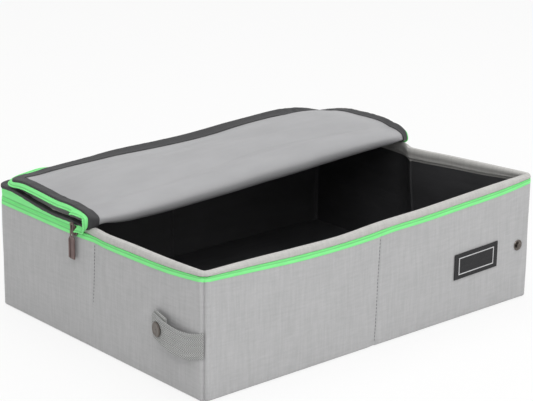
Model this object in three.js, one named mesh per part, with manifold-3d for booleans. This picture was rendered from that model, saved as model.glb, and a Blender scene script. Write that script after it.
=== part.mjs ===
// Foldable fabric litter box with a zipped lid, a snap strap and a floor that folds up in two halves.
// Millimetres, +Z up. Origin on the floor at the middle of the box.
// X runs along the long walls, -Y is the front wall and +Y the back wall that carries the lid.
import * as THREE from 'three';
import { mergeVertices } from 'three/addons/utils/BufferGeometryUtils.js';
import Module from 'manifold-3d';

const wasm = await Module();
wasm.setup();

// Overall sizes of the box
const boxLength = 400;
const boxWidth = 300;
const wallHeight = 104;

// Layers of a wall, counted inwards from its outer face
const layerGap = 0.3;
const skinThick = 0.8;
const boardThick = 1.2;
const liningThick = 0.6;
const rimThick = 2.4;
const boardStart = skinThick + layerGap;
const boardEnd = boardStart + boardThick;
const liningStart = boardEnd + layerGap;
const liningEnd = liningStart + liningThick;
const rimEnd = liningStart + rimThick;

// Layers of the floor, counted up from the ground
const floorBoardThick = 1.4;
const floorBoardStart = skinThick + layerGap;
const floorBoardEnd = floorBoardStart + floorBoardThick;
const floorLiningStart = floorBoardEnd + layerGap;
const floorTop = floorLiningStart + liningThick;

// Fold lines: the upright corner axes, the centre folds of the end walls and the floor hinges
const foldClearance = 1.3;
const cornerInset = rimEnd + floorTop / 2 + foldClearance;
const floorHingeInset = cornerInset - floorTop / 2;
const cornerSteps = 6;

// Zip fastener round the top of the walls
const lowerTapeWidth = 5.8;
const upperTapeWidth = 11.8;
const zipGap = 0.8;
const lowerTapeFloor = wallHeight + layerGap;
const lowerTapeTop = lowerTapeFloor + lowerTapeWidth;
const upperTapeFloor = lowerTapeTop + zipGap;
const upperTapeTop = upperTapeFloor + upperTapeWidth;
const zipLine = (lowerTapeTop + upperTapeFloor) / 2;

// Fabric rim inside the zip
const rimRise = 8.7;
const rimDepth = 22;
const rimTop = lowerTapeTop + rimRise;
const rimFloor = rimTop - rimDepth;

// Stiffening boards in the walls
const boardMargin = 4;
const boardFloor = floorTop + layerGap;
const boardTop = wallHeight - boardMargin / 2;

// Lid, folded back on itself about a roll over the middle of the box
const lidThick = 1;
const rollInside = 6.5;
const rollSteps = 12;
const bindingWidth = 11;
const bindingThick = 0.8;
const lidFloor = upperTapeTop + layerGap;
const lidTop = lidFloor + lidThick;
const lidLiningTop = lidFloor - layerGap;
const lidLiningFloor = lidLiningTop - liningThick;
const bindingTop = lidLiningFloor - layerGap;
const bindingFloor = bindingTop - bindingThick;
const rollAxisHeight = lidTop + rollInside;

// Strap sewn into the front left corner, and the snap it closes on
const snapHeight = 51.5;
const strapWidth = 23;
const strapThick = 1.4;
const strapReach = 56;
const strapBow = 5;
const strapEndLift = 3;
const strapSteps = 14;
const seamGap = 0.5;
const capRadius = 6.8;
const capThick = 2;
const capPlaceShare = 0.8;
const capFaceShare = 0.8;
const capShoulderShare = 0.9;
const socketRadius = 5;
const socketThick = 1.8;
const studFlangeRadius = 5;
const studFlangeThick = 0.8;
const studKnobRadius = 3.2;
const studKnobHeight = 2;
const studNeckShare = 0.8;
const studSwellShare = 0.7;
const studInset = 18;
const roundSides = 24;

// Bare label patch sewn on the front wall
const patchLength = 58;
const patchHeight = 24;
const patchThick = 0.9;
const patchInset = 48;

// Zip sliders and their pulls
const sliderPlace = 28.6;
const sliderLength = 10;
const sliderHeight = 9;
const sliderPlateThick = 1.6;
const sliderInnerThick = 0.9;
const sliderWedgeThick = 0.3;
const sliderWedgeLength = 6;
const bailInside = 1.2;
const bailThick = 1.1;
const bailWidth = 1.4;
const pullClearance = 0.3;
const pullThick = 1.2;
const pullBarThick = 1;
const pullNeckWidth = 4.4;
const pullWindowWidth = 2.2;
const pullWidth = 7;
const pullLength = 24;
const pullTipWidth = 5.4;

// Sizes that follow
const halfLength = boxLength / 2;
const halfWidth = boxWidth / 2;
const cornerAxisX = halfLength - cornerInset;
const cornerAxisY = halfWidth - cornerInset;
const floorHingeY = halfWidth - floorHingeInset;
const endStripDepth = cornerInset - foldClearance - layerGap - layerGap / 2;
const wallStripDepth = floorHingeInset - layerGap;

const finishes = {
  outerFabric: { color: 0xa9abad, roughness: 0.85 },
  rimFabric: { color: 0xb9bab6, roughness: 0.85 },
  zipTape: { color: 0x86ea8c, roughness: 0.7 },
  lining: { color: 0x141415, roughness: 0.5 },
  lidLining: { color: 0xb4b6b8, roughness: 0.6 },
  binding: { color: 0x28272a, roughness: 0.7 },
  board: { color: 0x7d7a74, roughness: 0.85 },
  webbing: { color: 0x8f9193, roughness: 0.8 },
  snapMetal: { color: 0x8d8f92, roughness: 0.35, metalness: 0.9 },
  gunmetal: { color: 0x5b5450, roughness: 0.4, metalness: 0.85 },
  patch: { color: 0x17181a, roughness: 0.8 },
};

const litterBox = new THREE.Group();

// Adds one named piece with a material of its own
function addPiece(name, geometry, finish) {
  const mesh = new THREE.Mesh(geometry, new THREE.MeshStandardMaterial(finish));
  mesh.name = name;
  litterBox.add(mesh);
  return mesh;
}

// Turns a closed mesh into a solid that can be joined and cut
function toSolid(geometry) {
  const bare = geometry.clone();
  bare.deleteAttribute('normal');
  bare.deleteAttribute('uv');
  const merged = mergeVertices(bare);
  const vertProperties = new Float32Array(merged.attributes.position.array);
  const triVerts = new Uint32Array(merged.index.array);
  return new wasm.Manifold(new wasm.Mesh({ numProp: 3, vertProperties, triVerts }));
}

// Turns a solid back into a mesh geometry
function toGeometry(solid) {
  const mesh = solid.getMesh();
  const geometry = new THREE.BufferGeometry();
  geometry.setAttribute('position', new THREE.BufferAttribute(mesh.vertProperties, 3));
  geometry.setIndex(new THREE.BufferAttribute(mesh.triVerts, 1));
  return geometry;
}

function join(...geometries) {
  return toGeometry(geometries.map(toSolid).reduce((whole, next) => whole.add(next)));
}

// Box between two corners
function block(xs, ys, zs) {
  const [x0, x1] = [Math.min(...xs), Math.max(...xs)];
  const [y0, y1] = [Math.min(...ys), Math.max(...ys)];
  const [z0, z1] = [Math.min(...zs), Math.max(...zs)];
  const geometry = new THREE.BoxGeometry(x1 - x0, y1 - y0, z1 - z0);
  geometry.translate((x0 + x1) / 2, (y0 + y1) / 2, (z0 + z1) / 2);
  return geometry;
}

// Plan outline drawn up between two heights
function raise(points, z0, z1) {
  const geometry = new THREE.ExtrudeGeometry(new THREE.Shape(points), {
    depth: z1 - z0,
    bevelEnabled: false,
  });
  geometry.translate(0, 0, z0);
  return geometry;
}

// Line along the back wall and round both its corners, at an offset in from the outer face
function backLine(offset, legEnd) {
  const radius = Math.max(cornerInset - offset, 0);
  const centreX = halfLength - offset - radius;
  const centreY = halfWidth - offset - radius;
  const steps = radius > 0 ? cornerSteps : 0;
  const right = [];
  for (let i = 0; i <= steps; i += 1) {
    const angle = steps ? (Math.PI / 2) * (1 - i / steps) : 0;
    right.push(new THREE.Vector2(centreX + radius * Math.cos(angle), centreY + radius * Math.sin(angle)));
  }
  if (legEnd < centreY) {
    right.push(new THREE.Vector2(halfLength - offset, legEnd));
  }
  const left = right.map((point) => new THREE.Vector2(-point.x, point.y)).reverse();
  return [...left, ...right];
}

// Layer of the back wall between two offsets, with its corner returns
function backLayer(offset0, offset1, z0, z1, legEnd = cornerAxisY) {
  return raise([...backLine(offset0, legEnd), ...backLine(offset1, legEnd).reverse()], z0, z1);
}

// Skin of a long wall with the strip that turns under the floor
function longWallSkin() {
  const upright = backLayer(0, skinThick, 0, wallHeight);
  const strip = backLayer(skinThick / 2, wallStripDepth, 0, skinThick);
  return join(upright, strip);
}

// Long walls: the back wall as drawn, the front wall turned half a turn about the middle
const longWalls = [
  { side: 'back', turn: 0 },
  { side: 'front', turn: Math.PI },
];
for (const { side, turn } of longWalls) {
  const boardOuterX = cornerAxisX - boardMargin;
  const boardYs = [halfWidth - boardEnd, halfWidth - boardStart];
  const leftBoard = block([-boardOuterX, -boardMargin / 2], boardYs, [boardFloor, boardTop]);
  const rightBoard = block([boardMargin / 2, boardOuterX], boardYs, [boardFloor, boardTop]);
  const lining = backLayer(liningStart, liningEnd, floorBoardStart, rimFloor - layerGap);
  const rim = backLayer(liningStart, rimEnd, rimFloor, rimTop);
  const tape = backLayer(0, skinThick, lowerTapeFloor, lowerTapeTop);
  const pieces = [
    addPiece(`${side}_wall_skin`, longWallSkin(), finishes.outerFabric),
    addPiece(`${side}_wall_board_a`, leftBoard, finishes.board),
    addPiece(`${side}_wall_board_b`, rightBoard, finishes.board),
    addPiece(`${side}_wall_lining`, lining, finishes.lining),
    addPiece(`${side}_wall_rim`, rim, finishes.rimFabric),
    addPiece(`${side}_zip_tape`, tape, finishes.zipTape),
  ];
  for (const piece of pieces) {
    piece.rotation.z = turn;
  }
}

// End walls, each in a rear half and a front half that meet at the centre fold
const endHalves = [
  { name: 'right_rear', sideX: 1, sideY: 1 },
  { name: 'right_front', sideX: 1, sideY: -1 },
  { name: 'left_rear', sideX: -1, sideY: 1 },
  { name: 'left_front', sideX: -1, sideY: -1 },
];
for (const { name, sideX, sideY } of endHalves) {
  const layer = (offset0, offset1, zs, margin = layerGap) => block(
    [sideX * (halfLength - offset0), sideX * (halfLength - offset1)],
    [sideY * margin, sideY * (cornerAxisY - margin)],
    zs,
  );
  const skin = join(
    layer(0, skinThick, [0, wallHeight]),
    layer(skinThick / 2, endStripDepth, [0, skinThick]),
  );
  const board = layer(boardStart, boardEnd, [boardFloor, boardTop], boardMargin);
  const lining = layer(liningStart, liningEnd, [floorBoardStart, rimFloor - layerGap]);
  const rim = layer(liningStart, rimEnd, [rimFloor, rimTop]);
  const tape = layer(0, skinThick, [lowerTapeFloor, lowerTapeTop]);
  addPiece(`${name}_end_skin`, skin, finishes.outerFabric);
  addPiece(`${name}_end_board`, board, finishes.board);
  addPiece(`${name}_end_lining`, lining, finishes.lining);
  addPiece(`${name}_end_rim`, rim, finishes.rimFabric);
  addPiece(`${name}_zip_tape`, tape, finishes.zipTape);
}

// Floor: each half is a stiff panel whose ends are cut at 45 degrees, with soft gussets beyond the cuts
const floorHingeReach = cornerAxisX - foldClearance;
const gussetEndX = halfLength - endStripDepth - layerGap;
const gussetThick = skinThick + liningThick + layerGap;

// Half length of the stiff floor at a distance from the centre line
function floorReach(y) {
  return floorHingeReach - (floorHingeY - y);
}

function floorPanel(margin, z0, z1) {
  const nearY = layerGap + margin;
  const farY = floorHingeY - margin;
  const slant = margin * Math.SQRT2;
  const near = floorReach(nearY) - slant;
  const far = floorReach(farY) - slant;
  const corners = [[-far, farY], [-near, nearY], [near, nearY], [far, farY]];
  return raise(corners.map(([x, y]) => new THREE.Vector2(x, y)), z0, z1);
}

function floorGusset(side) {
  const nearY = layerGap;
  const farY = cornerAxisY - layerGap;
  const slant = layerGap * Math.SQRT2;
  const corners = [
    [floorReach(nearY) + slant, nearY],
    [gussetEndX, nearY],
    [gussetEndX, farY],
    [floorReach(farY) + slant, farY],
  ];
  const points = corners.map(([x, y]) => new THREE.Vector2(side * x, y));
  return raise(side > 0 ? points : points.reverse(), 0, gussetThick);
}

for (const { side, turn } of longWalls) {
  const pieces = [
    addPiece(`${side}_floor_skin`, floorPanel(0, 0, skinThick), finishes.outerFabric),
    addPiece(`${side}_floor_board`, floorPanel(boardMargin, floorBoardStart, floorBoardEnd), finishes.board),
    addPiece(`${side}_floor_lining`, floorPanel(0, floorLiningStart, floorTop), finishes.lining),
    addPiece(`${side}_floor_gusset_a`, floorGusset(-1), finishes.lining),
    addPiece(`${side}_floor_gusset_b`, floorGusset(1), finishes.lining),
  ];
  for (const piece of pieces) {
    piece.rotation.z = turn;
  }
}

// Lid halves: the rear half lies on the box, the flap is the same panel folded back over the roll.
// The zip tape of the rear half is closed; that of the flap is open and turned over to its outer face.
const lidHalves = [
  { name: 'lid_rear', folded: false },
  { name: 'lid_flap', folded: true },
];
for (const { name, folded } of lidHalves) {
  const shell = raise(backLine(0, layerGap), lidFloor, lidTop);
  const lining = raise(backLine(boardStart, layerGap), lidLiningFloor, lidLiningTop);
  const tapeFloor = folded ? lidTop + layerGap : upperTapeFloor;
  const tape = backLayer(0, skinThick, tapeFloor, tapeFloor + upperTapeWidth, layerGap);
  const binding = backLayer(boardStart, boardStart + bindingWidth, bindingFloor, bindingTop, layerGap);
  const pieces = [
    addPiece(`${name}_shell`, shell, finishes.outerFabric),
    addPiece(`${name}_lining`, lining, finishes.lidLining),
    addPiece(`${name}_zip_tape`, tape, finishes.zipTape),
    addPiece(`${name}_binding`, binding, finishes.binding),
  ];
  if (folded) {
    // Closed, the flap covers the front half; half a turn about Z and half about the roll lay it back
    const hinge = new THREE.Group();
    hinge.position.set(0, 0, rollAxisHeight);
    hinge.rotation.x = Math.PI;
    for (const piece of pieces) {
      piece.position.set(0, 0, -rollAxisHeight);
      piece.rotation.z = Math.PI;
      hinge.add(piece);
    }
    litterBox.add(hinge);
  }
}

// Rolled fabric that joins the rear half of the lid to the flap
function rollProfile() {
  const arc = (radius) => {
    const points = [];
    for (let i = 0; i <= rollSteps; i += 1) {
      const angle = -Math.PI / 2 - (Math.PI * i) / rollSteps;
      points.push(new THREE.Vector2(radius * Math.cos(angle), radius * Math.sin(angle)));
    }
    return points;
  };
  return new THREE.Shape([...arc(rollInside), ...arc(rollInside + lidThick).reverse()]);
}
const roll = new THREE.ExtrudeGeometry(rollProfile(), { depth: boxLength, bevelEnabled: false });
roll.translate(0, 0, -halfLength);
roll.rotateX(Math.PI / 2);
roll.rotateZ(Math.PI / 2);
const rollPiece = addPiece('lid_roll', roll, finishes.outerFabric);
rollPiece.position.set(0, 0, rollAxisHeight);

// Strap centre line in plan, from the corner seam along the left end wall, as a share of its length
const strapRootRadius = cornerInset + seamGap + strapThick / 2;
const strapRootX = -cornerAxisX - strapRootRadius;
function strapPoint(share) {
  const bow = strapBow * Math.sin(Math.PI * share) + strapEndLift * share;
  return new THREE.Vector2(strapRootX - bow, -cornerAxisY + strapReach * share);
}

function strapLine() {
  const points = [];
  for (let i = 0; i < cornerSteps; i += 1) {
    const angle = Math.PI + (Math.PI / 4) * (1 - i / cornerSteps);
    points.push(new THREE.Vector2(
      -cornerAxisX + strapRootRadius * Math.cos(angle),
      -cornerAxisY + strapRootRadius * Math.sin(angle),
    ));
  }
  for (let i = 0; i <= strapSteps; i += 1) {
    points.push(strapPoint(i / strapSteps));
  }
  return points;
}

// Line moved sideways by a distance, to the left of its own direction
function shiftLine(points, distance) {
  return points.map((point, i) => {
    const before = points[Math.max(i - 1, 0)];
    const after = points[Math.min(i + 1, points.length - 1)];
    const along = after.clone().sub(before).normalize();
    return new THREE.Vector2(point.x - along.y * distance, point.y + along.x * distance);
  });
}

const strapCentre = strapLine();
const strapOutline = [
  ...shiftLine(strapCentre, -strapThick / 2),
  ...shiftLine(strapCentre, strapThick / 2).reverse(),
];
const strapFloor = snapHeight - strapWidth / 2;
addPiece('strap_webbing', raise(strapOutline, strapFloor, strapFloor + strapWidth), finishes.webbing);

// Disc turned about its own axis and set on a face; its profile runs from the face outwards
function turned(profile) {
  return new THREE.LatheGeometry(profile.map(([r, h]) => new THREE.Vector2(r, h)), roundSides);
}

const snapStep = 1 / strapSteps;
const snapPlace = strapPoint(capPlaceShare);
const snapAlong = strapPoint(capPlaceShare + snapStep).sub(strapPoint(capPlaceShare - snapStep)).normalize();
const snapOut = new THREE.Vector3(-snapAlong.y, snapAlong.x, 0);

function onStrap(mesh, direction) {
  const away = snapOut.clone().multiplyScalar(direction);
  const face = strapThick / 2 + layerGap;
  mesh.quaternion.setFromUnitVectors(new THREE.Vector3(0, 1, 0), away);
  mesh.position.set(snapPlace.x, snapPlace.y, snapHeight).addScaledVector(away, face);
}

const capProfile = [
  [0, 0],
  [capRadius, 0],
  [capRadius, capThick / 2],
  [capRadius * capFaceShare, capThick * capShoulderShare],
  [0, capThick],
];
onStrap(addPiece('strap_snap_cap', turned(capProfile), finishes.snapMetal), 1);

const socketProfile = [
  [0, 0],
  [socketRadius, 0],
  [socketRadius, socketThick],
  [studKnobRadius + seamGap, socketThick],
  [studKnobRadius + seamGap, socketThick / 2],
  [0, socketThick / 2],
];
onStrap(addPiece('strap_snap_socket', turned(socketProfile), finishes.snapMetal), -1);

// Snap stud on the front wall near its right end
const studProfile = [
  [0, 0],
  [studFlangeRadius, 0],
  [studFlangeRadius, studFlangeThick],
  [studKnobRadius * studNeckShare, studFlangeThick],
  [studKnobRadius, studKnobHeight * studSwellShare],
  [studKnobRadius * studNeckShare, studKnobHeight],
  [0, studKnobHeight],
];
const stud = addPiece('front_snap_stud', turned(studProfile), finishes.snapMetal);
stud.rotation.x = Math.PI;
stud.position.set(halfLength - studInset, -halfWidth - layerGap, snapHeight);

// Bare patch on the front wall
const patchRight = halfLength - patchInset;
const patch = block(
  [patchRight - patchLength, patchRight],
  [-halfWidth - layerGap - patchThick, -halfWidth - layerGap],
  [snapHeight - patchHeight / 2, snapHeight + patchHeight / 2],
);
addPiece('front_label_patch', patch, finishes.patch);

// Slider drawn with its outer face towards +X and the zip line through its origin
const plateStart = layerGap;
const plateEnd = plateStart + sliderPlateThick;
const pullAxisX = plateEnd + bailInside;
const bailOutside = bailInside + bailThick;
function sliderGeometry() {
  const innerFar = -skinThick - layerGap;
  const plateYs = [-sliderLength / 2, sliderLength / 2];
  const plateZs = [-sliderHeight / 2, sliderHeight / 2];
  const outer = block([plateStart, plateEnd], plateYs, plateZs);
  const inner = block([innerFar - sliderInnerThick, innerFar], plateYs, plateZs);
  const plateMiddle = plateEnd - sliderPlateThick / 2;
  const wedge = block(
    [innerFar - sliderInnerThick / 2, plateMiddle],
    [-sliderWedgeLength / 2, sliderWedgeLength / 2],
    [-sliderWedgeThick / 2, sliderWedgeThick / 2],
  );
  const bailYs = [-bailWidth / 2, bailWidth / 2];
  const bailFarX = pullAxisX + bailOutside;
  const upperPost = block([plateMiddle, bailFarX], bailYs, [bailInside, bailOutside]);
  const lowerPost = block([plateMiddle, bailFarX], bailYs, [-bailOutside, -bailInside]);
  const arch = block([pullAxisX + bailInside, bailFarX], bailYs, [-bailOutside, bailOutside]);
  return join(outer, inner, wedge, upperPost, lowerPost, arch);
}

// Pull drawn hanging from the origin in the plane across X; its window clears the bail as it swings
function pullGeometry() {
  const top = pullBarThick / 2;
  const windowFar = bailOutside * Math.SQRT2 + pullClearance;
  const neck = windowFar + pullBarThick;
  const halves = [
    [pullNeckWidth / 2, top],
    [pullNeckWidth / 2, -neck],
    [pullWidth / 2, -neck - pullBarThick],
    [pullTipWidth / 2, -pullLength + pullBarThick],
    [pullTipWidth / 2 - pullBarThick, -pullLength],
  ];
  const right = halves.map(([y, z]) => new THREE.Vector2(y, z));
  const left = halves.map(([y, z]) => new THREE.Vector2(-y, z)).reverse();
  const outline = new THREE.Shape([...right, ...left]);
  outline.holes.push(new THREE.Path([
    new THREE.Vector2(-pullWindowWidth / 2, -top),
    new THREE.Vector2(-pullWindowWidth / 2, -windowFar),
    new THREE.Vector2(pullWindowWidth / 2, -windowFar),
    new THREE.Vector2(pullWindowWidth / 2, -top),
  ]));
  const plate = new THREE.ExtrudeGeometry(outline, { depth: pullThick, bevelEnabled: false });
  plate.translate(0, 0, -pullThick / 2);
  plate.rotateX(Math.PI / 2);
  plate.rotateZ(Math.PI / 2);
  return plate;
}

for (const side of [1, -1]) {
  const name = side > 0 ? 'right' : 'left';
  const slider = addPiece(`${name}_zip_slider`, sliderGeometry(), finishes.gunmetal);
  const pull = addPiece(`${name}_zip_pull`, pullGeometry(), finishes.gunmetal);
  for (const piece of [slider, pull]) {
    piece.rotation.z = side > 0 ? 0 : Math.PI;
    piece.position.set(side * halfLength, sliderPlace, zipLine);
  }
  pull.position.x += side * pullAxisX;
}

export default litterBox;
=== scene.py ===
"""Dressed model of a foldable fabric litter box whose zipped lid is folded back on itself.

Sizes are in millimetres and become metres where a mesh is written. The frame is that of the solids:
X runs along the long walls, -Y is the front wall, +Y the back wall that carries the lid, +Z is up.
"""

import logging
import math
from dataclasses import dataclass, field
from enum import Enum
from typing import Iterable, Sequence

import bmesh
import bpy
import numpy as np
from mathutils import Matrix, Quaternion, Vector, noise


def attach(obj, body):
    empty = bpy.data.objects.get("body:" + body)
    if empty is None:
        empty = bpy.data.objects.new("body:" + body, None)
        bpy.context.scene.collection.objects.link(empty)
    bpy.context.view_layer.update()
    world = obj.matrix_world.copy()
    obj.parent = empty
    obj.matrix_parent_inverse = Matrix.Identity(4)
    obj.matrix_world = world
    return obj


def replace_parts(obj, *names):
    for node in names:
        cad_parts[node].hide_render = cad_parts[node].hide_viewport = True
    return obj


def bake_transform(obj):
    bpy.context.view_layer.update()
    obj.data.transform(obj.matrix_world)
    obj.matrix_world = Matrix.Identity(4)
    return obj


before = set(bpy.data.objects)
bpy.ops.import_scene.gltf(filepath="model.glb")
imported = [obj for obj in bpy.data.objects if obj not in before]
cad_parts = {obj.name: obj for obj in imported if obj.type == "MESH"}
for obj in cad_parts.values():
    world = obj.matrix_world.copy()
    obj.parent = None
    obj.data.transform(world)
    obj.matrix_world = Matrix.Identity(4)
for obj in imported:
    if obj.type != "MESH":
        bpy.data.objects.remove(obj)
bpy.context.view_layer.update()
LOG = logging.getLogger("litter_box")

Pair = tuple[float, float]
Triple = tuple[float, float, float]
Knots = tuple[Pair, ...]
Array = np.ndarray
Piece = bpy.types.Object
Socket = bpy.types.NodeSocket

MM = 0.001
HALF_X = 200.0
HALF_Y = 150.0
CORNER = 8.0
WALL_HEIGHT = 104.0
LID_MIDDLE = 122.85
ROLL_RADIUS = 7.65
UP = np.array((0.0, 0.0, 1.0))
TOOTH = (0.62, 0.95, 0.95, 0.62)
TOOTH_PITCH = 1.25
TOOTH_HEIGHT = 110.5
TOOTH_PRESS = 0.75
TOOTH_SIDES = 6
CRISP_TEETH = 60.0


def smooth(t: Array) -> Array:
    """Ease from 0 to 1 with no corner at either end."""
    t = np.clip(t, 0.0, 1.0)
    return t * t * (3.0 - 2.0 * t)


def bump(t: Array) -> Array:
    """Bell of height 1 at 0, gone by about 2."""
    return np.exp(-t * t)


def spline(x: Array, knots: Knots) -> Array:
    """Smooth curve through knots.

    Args:
        x: Places to read the curve at.
        knots: Pairs of place and value, by rising place.

    Returns:
        The curve's values, held constant beyond its ends.
    """
    xs, ys = np.array(knots, float).T
    slopes = np.gradient(ys, xs)
    x = np.clip(x, xs[0], xs[-1])
    i = np.clip(np.searchsorted(xs, x) - 1, 0, len(xs) - 2)
    h = xs[i + 1] - xs[i]
    t = (x - xs[i]) / h
    return (
        (2 * t**3 - 3 * t**2 + 1) * ys[i]
        + (t**3 - 2 * t**2 + t) * h * slopes[i]
        + (3 * t**2 - 2 * t**3) * ys[i + 1]
        + (t**3 - t**2) * h * slopes[i + 1]
    )


def unit(v: Array) -> Array:
    """Vectors along the last axis, at length 1."""
    return v / np.maximum(np.linalg.norm(v, axis=-1, keepdims=True), 1e-9)


def stacked(*parts: Array) -> Array:
    """Coordinates of matching shapes, put together on a new last axis."""
    return np.stack(np.broadcast_arrays(*parts), -1)


def circle(sides: int) -> Array:
    """Angles of evenly spaced places round a circle."""
    return np.arange(sides) * math.tau / sides


def tooth_sizes(count: int) -> Array:
    """Sizes of the zip's coil from ring to ring, swelling once for each tooth."""
    return np.array([TOOTH[i % len(TOOTH)] for i in range(count)])


def rumple(points: Array, size: float, seed: float) -> Array:
    """Even cloth noise from about -1 to 1, by the width of a ruck and a seed that moves it."""
    flat = points.reshape(-1, 3) / size + seed
    return np.array([noise.noise(Vector(p)) for p in flat]).reshape(points.shape[:-1])


def between(start: float, end: float, step: float, focus: Iterable[float] = (),
            near: float = 4.0) -> Array:
    """Sample places from start to end, closer together about some of them.

    Args:
        start: First place.
        end: Last place.
        step: Largest spacing.
        focus: Places that need fine samples.
        near: Reach of the fine samples on each side.

    Returns:
        Places in order from start to end.
    """
    low, high = min(start, end), max(start, end)
    count = max(2, int(math.ceil((high - low) / step)) + 1)
    places = list(np.linspace(low, high, count))
    for f in focus:
        fine = f + np.linspace(-near, near, 25)
        places = [p for p in places if abs(p - f) > near + step / 3 or p in (low, high)]
        places += [p for p in fine if low < p < high]
    places = np.array(sorted(set(np.round(places, 4))))
    return places if start <= end else places[::-1]


# Finishes


class Weave(Enum):
    """How a finish is made up."""

    CANVAS = "canvas"
    TAPE = "tape"
    COATED = "coated"
    WEBBING = "webbing"
    METAL = "metal"


def linear(tint: Sequence[float]) -> tuple[float, ...]:
    """Colour given as 0 to 255 on screen, as the shader wants it."""
    parts = [c / 255.0 for c in tint]
    return (*(c / 12.92 if c <= 0.04045 else ((c + 0.055) / 1.055) ** 2.4 for c in parts), 1.0)


class Graph:
    """Short hand for wiring one material's nodes."""

    def __init__(self, name: str) -> None:
        """Start a material with its shader and the cloth coordinate."""
        self.material = bpy.data.materials.new(name)
        self.material.use_nodes = True
        self.tree = self.material.node_tree
        self.shader = self.tree.nodes["Principled BSDF"]
        self.coordinate = self.node("ShaderNodeAttribute", attribute_name="weave").outputs["Vector"]

    def node(self, kind: str, **settings: object) -> bpy.types.Node:
        """Add a node.

        Args:
            kind: The node's type name.
            settings: Attributes of the node to set.

        Returns:
            The new node.
        """
        made = self.tree.nodes.new(kind)
        for key, value in settings.items():
            setattr(made, key, value)
        return made

    def put(self, socket: Socket, value: object) -> None:
        """Wire a socket to an output, or set it to a constant.

        Args:
            socket: The socket that is fed.
            value: Another node's output, or the constant.
        """
        if isinstance(value, Socket):
            self.tree.links.new(value, socket)
        else:
            socket.default_value = value

    def operate(self, kind: str, operation: str, values: Sequence[object]) -> Socket:
        """Add a node that works on values or outputs.

        Args:
            kind: The node's type name.
            operation: What it does.
            values: Constants or outputs, in the order of its inputs.

        Returns:
            Its first output.
        """
        made = self.node(kind, operation=operation)
        for socket, value in zip(made.inputs, values):
            self.put(socket, value)
        return made.outputs[0]

    def math(self, operation: str, *values: object) -> Socket:
        """Result of one Math node on values or outputs."""
        return self.operate("ShaderNodeMath", operation, values)

    def plus(self, first: object, second: object) -> Socket:
        """Sum of two values or outputs."""
        return self.math("ADD", first, second)

    def times(self, first: object, second: object) -> Socket:
        """Product of two values or outputs."""
        return self.math("MULTIPLY", first, second)

    def swing(self, value: Socket, gain: float) -> Socket:
        """Noise about 0.5 turned into a swing about 0."""
        return self.times(self.math("SUBTRACT", value, 0.5), gain)

    def vector(self, operation: str, *values: object) -> Socket:
        """Result of one Vector Math node on vectors or outputs."""
        return self.operate("ShaderNodeVectorMath", operation, values)

    def scaled(self, size: Sequence[float]) -> Socket:
        """Cloth coordinate in cells of this size in millimetres."""
        return self.vector("MULTIPLY", self.coordinate, tuple(1.0 / s for s in size))

    def noise(self, size: Sequence[float], detail: float = 2.0) -> Socket:
        """Add a noise.

        Args:
            size: Size of its cells in millimetres.
            detail: Number of finer noises on it.

        Returns:
            Its value, about 0.5.
        """
        made = self.node("ShaderNodeTexNoise")
        self.put(made.inputs["Vector"], self.scaled(size))
        made.inputs["Scale"].default_value = 1.0
        made.inputs["Detail"].default_value = detail
        return made.outputs["Fac"]

    def ranged(self, value: Socket, low: float, high: float,
               start: float = 0.0, end: float = 1.0) -> Socket:
        """Move a value from one range onto another.

        Args:
            value: The value.
            low: What the old range's start becomes.
            high: What the old range's end becomes.
            start: Start of the old range.
            end: End of the old range.

        Returns:
            The moved value.
        """
        made = self.node("ShaderNodeMapRange")
        given = {"Value": value, "From Min": start, "From Max": end, "To Min": low, "To Max": high}
        for key, item in given.items():
            self.put(made.inputs[key], item)
        return made.outputs["Result"]

    def threads(self, pitch: float) -> Socket:
        """Add a plain weave.

        Args:
            pitch: Thread spacing in millimetres.

        Returns:
            Over and under threads, from -1 to 1.
        """
        turned = self.vector("MULTIPLY", self.coordinate, (math.tau / pitch, math.tau / pitch, 0.0))
        waves = self.node("ShaderNodeSeparateXYZ")
        self.put(waves.inputs[0], self.vector("SINE", turned))
        return self.math("MULTIPLY", waves.outputs[0], waves.outputs[1])

    def finish(self, tint: Sequence[float], shade: Socket, height: Socket,
               depth: float, rough: Socket) -> None:
        """Wire colour, relief and gloss to the shader.

        Args:
            tint: Colour, 0 to 255.
            shade: Brightness about 1 that multiplies the colour.
            height: Relief about 0.
            depth: Depth of the relief in millimetres.
            rough: Roughness.
        """
        colour = self.node("ShaderNodeMix", data_type="RGBA", blend_type="MULTIPLY")
        colour.inputs["Factor"].default_value = 1.0
        colour.inputs["A"].default_value = linear(tint)
        grey = self.node("ShaderNodeCombineColor")
        for socket in grey.inputs:
            self.put(socket, shade)
        self.put(colour.inputs["B"], grey.outputs[0])
        self.put(self.shader.inputs["Base Color"], colour.outputs["Result"])
        relief = self.node("ShaderNodeBump")
        relief.inputs["Distance"].default_value = depth * MM
        relief.inputs["Strength"].default_value = 1.0
        self.put(relief.inputs["Height"], height)
        self.put(self.shader.inputs["Normal"], relief.outputs["Normal"])
        self.put(self.shader.inputs["Roughness"], rough)


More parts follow.
